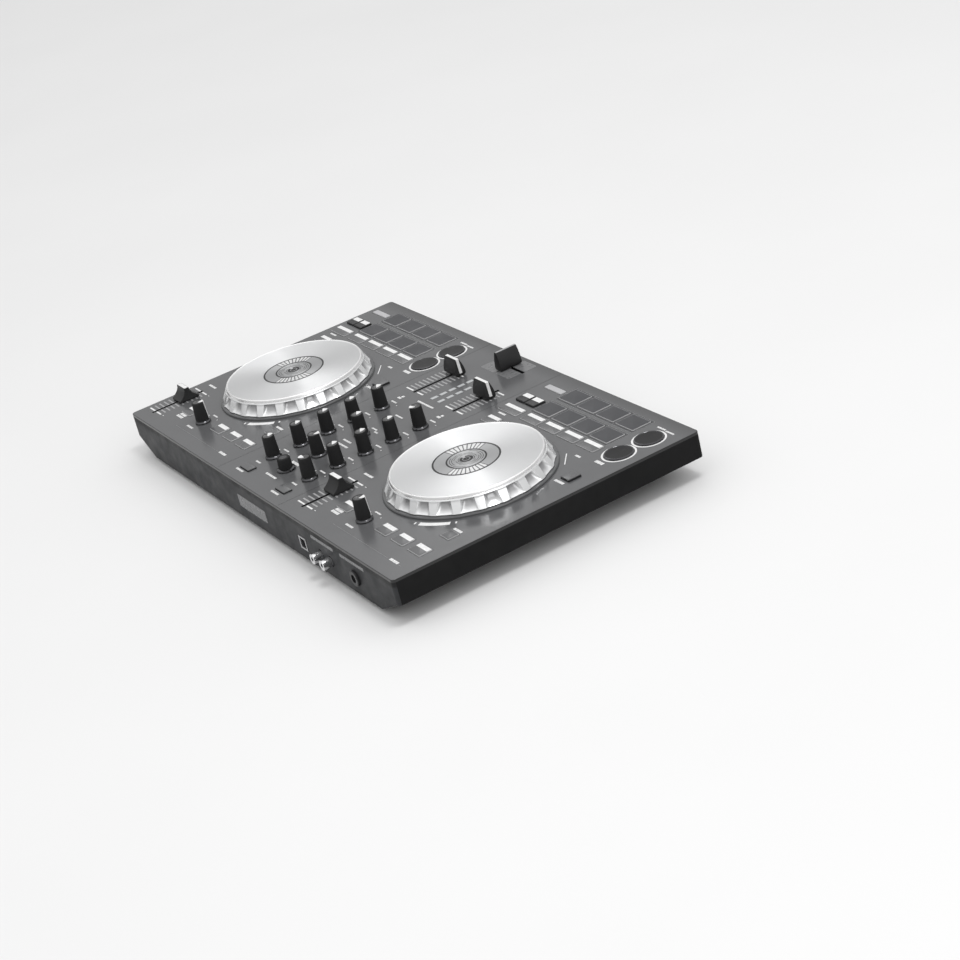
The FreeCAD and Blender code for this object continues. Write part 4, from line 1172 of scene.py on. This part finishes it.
def rear_prints():
    """Pale strips over the sockets and a blank rating label."""
    strips = bmesh.new()
    for x0, x1 in ((-147, -110), (-196, -158)):
        rear_bar(strips, x0 * MM, x1 * MM, 29.6 * MM, 32.4 * MM, 0.5 * MM)
    piece("rear_strips", strips, "faint", "chassis")
    label = bmesh.new()
    rear_bar(label, -25 * MM, 27 * MM, 14 * MM, 25 * MM, 1 * MM)
    piece("rear_label", label, "faint", "chassis")


# --- camera, light and floor ---
AIM = Vector((-0.1624, 0.0081, 0.0390))
CAMERA_DISTANCE = 1.6312
CAMERA_HEADING = 154.8
CAMERA_ELEVATION = 25.07
CAMERA_ROLL = 14.24
CAMERA_LENS = 81.15


def toward(heading, elevation):
    """Unit vector from the aim towards a heading and elevation in degrees."""
    h, e = math.radians(heading), math.radians(elevation)
    return Vector((math.cos(e) * math.cos(h), math.cos(e) * math.sin(h), math.sin(e)))


def add_camera():
    camera = bpy.data.cameras.new("view")
    camera.lens = CAMERA_LENS
    camera.sensor_width = 36
    made = add_object("view", camera)
    back = toward(CAMERA_HEADING, CAMERA_ELEVATION)
    level = (-back).cross(Vector((0, 0, 1))).normalized()
    roll = math.radians(CAMERA_ROLL)
    up = level.cross(-back) * math.cos(roll) + level * math.sin(roll)
    right = (-back).cross(up)
    made.matrix_world = Matrix.Translation(AIM + back * CAMERA_DISTANCE) @ Matrix(
        (right, up, back)).transposed().to_4x4()
    bpy.context.scene.camera = made


def add_area(name, heading, elevation, distance, size, power, depth=None):
    light = bpy.data.lights.new(name, "AREA")
    light.shape = "RECTANGLE"
    light.size = size
    light.size_y = depth or size
    light.energy = power
    made = add_object(name, light)
    out = toward(heading, elevation)
    made.matrix_world = (Matrix.Translation(out * distance)
                         @ out.to_track_quat("Z", "Y").to_matrix().to_4x4())


SKY = ((0.35, 0.62), (0.60, 0.95))


def add_world():
    """Pale studio surround, brighter overhead."""
    world = bpy.data.worlds.new("studio")
    bpy.context.scene.world = world
    world.use_nodes = True
    tree = world.node_tree
    place = tree.nodes.new("ShaderNodeTexCoord")
    split = tree.nodes.new("ShaderNodeSeparateXYZ")
    ramp = tree.nodes.new("ShaderNodeValToRGB")
    tree.links.new(place.outputs["Generated"], split.inputs["Vector"])
    tree.links.new(split.outputs["Z"], ramp.inputs["Fac"])
    tree.links.new(ramp.outputs["Color"], tree.nodes["Background"].inputs["Color"])
    levels = ramp.color_ramp.elements
    levels[0].color = (0.42, 0.42, 0.42, 1)
    levels[1].color = (1.25, 1.25, 1.25, 1)
    for place_z, level in SKY:
        step = levels.new(place_z)
        step.color = (level, level, level, 1)
    fill(tree.nodes["Background"], Strength=1.0)


def add_floor():
    size = 6.0
    bm = bmesh.new()
    bmesh.ops.create_grid(bm, x_segments=2, y_segments=2, size=size)
    mesh = bpy.data.meshes.new("floor")
    bm.to_mesh(mesh)
    bm.free()
    made = add_object("floor", mesh)
    made.location.z = cad_low.z - 0.2 * MM
    paper = Material("floor_paper", (0.74, 0.74, 0.74), 0.9)
    paper.mottle(3, 0.01)
    paper.bump(paper.noise(400, 3), 0.05, 0.05 * MM)
    paper.set(Specular_IOR_Level=0.1)
    mesh.materials.append(paper.made)


def build():
    dress_cad_nodes()
    for side in SIDES:
        build_keys(side)
        transport_key("cue_key_" + side)
        transport_key("play_key_" + side)
        jog_skirt(side)
        jog_plate(side)
        deck_prints(side)
    for node in CHANNEL_KNOBS + LEVEL_KNOBS + EFFECT_KNOBS:
        tall_knob(node)
    browse_knob("browse_knob")
    build_faders()
    mixer_prints()
    cross_plates()
    rear_prints()


build()
add_camera()
add_world()
add_area("back_strip", CAMERA_HEADING + 180, 38, 2.6, 0.25, 0.9, depth=0.6)
add_area("side_box", 180, 31, 2.8, 1.7, 8, depth=1.2)
add_area("spark", 195, 68, 2.4, 0.5, 14)
add_floor()
bpy.context.scene.view_settings.view_transform = "Standard"
